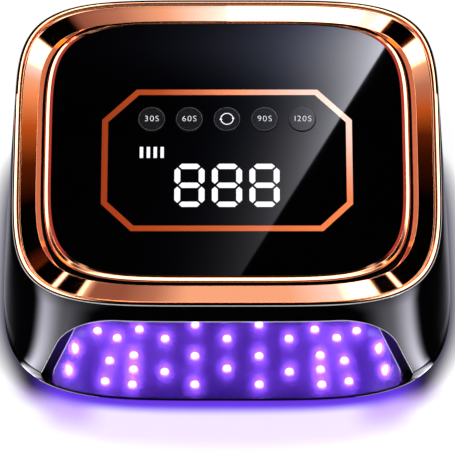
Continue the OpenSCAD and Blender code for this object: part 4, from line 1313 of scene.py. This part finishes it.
def overhead_card():
    """Card over the panel. Its own coordinates are those of the place on
    the flat glass that mirrors it."""
    clear_pick()
    bpy.ops.mesh.primitive_plane_add(size=2.6)
    card = new_piece("overhead_card")
    grow = 1 + CARD_RISE / EYE_RISE
    card.matrix_world = (PANEL_TURN @ Matrix.Translation(
        Vector((0, -EYE_FOOT * CARD_RISE / EYE_RISE, CARD_RISE)) * MM) @ Matrix.Scale(grow, 4))
    g = finish("overhead_card")
    u, v, w = g.place()
    # sheen on the glass, cut off by a straight edge
    past = (u - SHEEN_U) * SHEEN_ACROSS + (v - SHEEN_V) * SHEEN_UP
    length = 11 + 8 * v.step(20, 60)
    peak = (((60 - v).most(0) * (1 / 48)) ** 1.3 * -1).power_of_e()
    sheen = (past / length).power_of_e() * peak * (0.75 / GLASS_GLOSS) * past.step(0.4, -0.4)
    # tones round the ring
    way = abs(u).angle(v) * (1 / math.pi)
    left = g.ramp(way, LEFT_TONES)
    right = g.ramp(way, RIGHT_TONES)
    ring = g.mix(u.above(0), left, right)
    out = ((abs(u) * (1 / TONES_A)) ** 4 + (abs(v) * (1 / TONES_B)) ** 4) ** 0.25
    on_ring = out.step(0.72, 0.74)
    beyond = out.step(1.3, 1.34)
    rear, side, front = (g.ramp(out * (1 / FARTHEST), [(at / FARTHEST, shade) for at, shade in tones])
                         for tones in (REAR_BEYOND, SIDE_BEYOND, FRONT_BEYOND))
    frame_light = g.mix(way.step(0.22, 0.12), g.mix(way.step(0.74, 0.84), side, front), rear)
    corner = way.step(0.16, 0.2) * way.step(0.33, 0.28) + way.step(0.66, 0.7) * way.step(0.82, 0.77)
    frame_light = g.mix(corner * out.step(2.4, 2.55) * out.step(3.9, 3.5), frame_light, AMBER)
    tone = g.mix(beyond, ring, frame_light)
    hue = g.mix(past.step(-50, -8), (0.6, 0.65, 1.0), (0.88, 0.88, 1.0))
    glass = g.mix(1.0, hue, sheen.colour(), "MULTIPLY")
    tone = g.mix(1.0, tone, (6, 6, 6), "MULTIPLY")
    light = g.mix(on_ring, glass, tone)
    reflected_only(card, g.glow(light))


def wall_card():
    """Dark wall far round the lamp, with a paler foot."""
    clear_pick()
    bpy.ops.mesh.primitive_cylinder_add(vertices=96, radius=2.0, depth=1.2, location=(0, 0, 0.5),
                                        end_fill_type="NOTHING")
    card = new_piece("wall_card")
    settle(card)
    g = finish("wall_card")
    x, y, z = g.place()
    light = 0.015 + (0.05 + 0.35 * y.step(-1200, -1900)) * z.step(900, 500)
    reflected_only(card, g.glow(light.colour()))


def floor_card():
    """What the gloss body mirrors of its surroundings near the floor: dark
    in front, with a soft light off each front corner."""
    clear_pick()
    bpy.ops.mesh.primitive_plane_add(size=6)
    card = new_piece("floor_card")
    g = finish("floor_card")
    x, y, z = g.place()
    across, ahead = abs(x) - 90, -62 - y
    turn = across.angle(ahead) * (180 / math.pi)
    away = (across * across + ahead * ahead) ** 0.5
    rise = turn.step(76, 46)
    fall = 0.72 * turn.step(18, 46) + 0.28 * turn.step(-4, 20)
    close = 0.8 * away.step(26, 16) * turn.step(8, 18) * turn.step(72, 52)
    strip = (rise * rise * fall).most(close) * away.fade(220) * (0.52 / SHELL_GLOSS)
    side = 0.35 * y.step(-60, -20) * (abs(x) - BASE_A).most(0).fade(6)
    far = (x * x + y * y) ** 0.5
    dark = 0.006 + 0.03 * y.step(-20, 60) + 0.02 * far.step(500, 1500)
    light = g.mix(1.0, (0.88, 0.86, 1.0), (strip + side + dark).colour(), "MULTIPLY")
    reflected_only(card, g.glow(light))


# The scene

node_finishes = paint_nodes()
dress_shells(node_finishes)
dress_trims(node_finishes)
dress_keys(node_finishes)

scene.view_settings.view_transform = "Standard"
overhead_card()
wall_card()
floor_card()
studio_camera()
studio_world()
studio_floor()
studio_lamp("key_softbox", (-0.5, -0.6, 1.2), (0, 0, 0.04), 0.8, 5.5)
studio_lamp("fill_softbox", (0.7, 0.3, 1.1), (0, 0, 0.04), 0.9, 3.5)
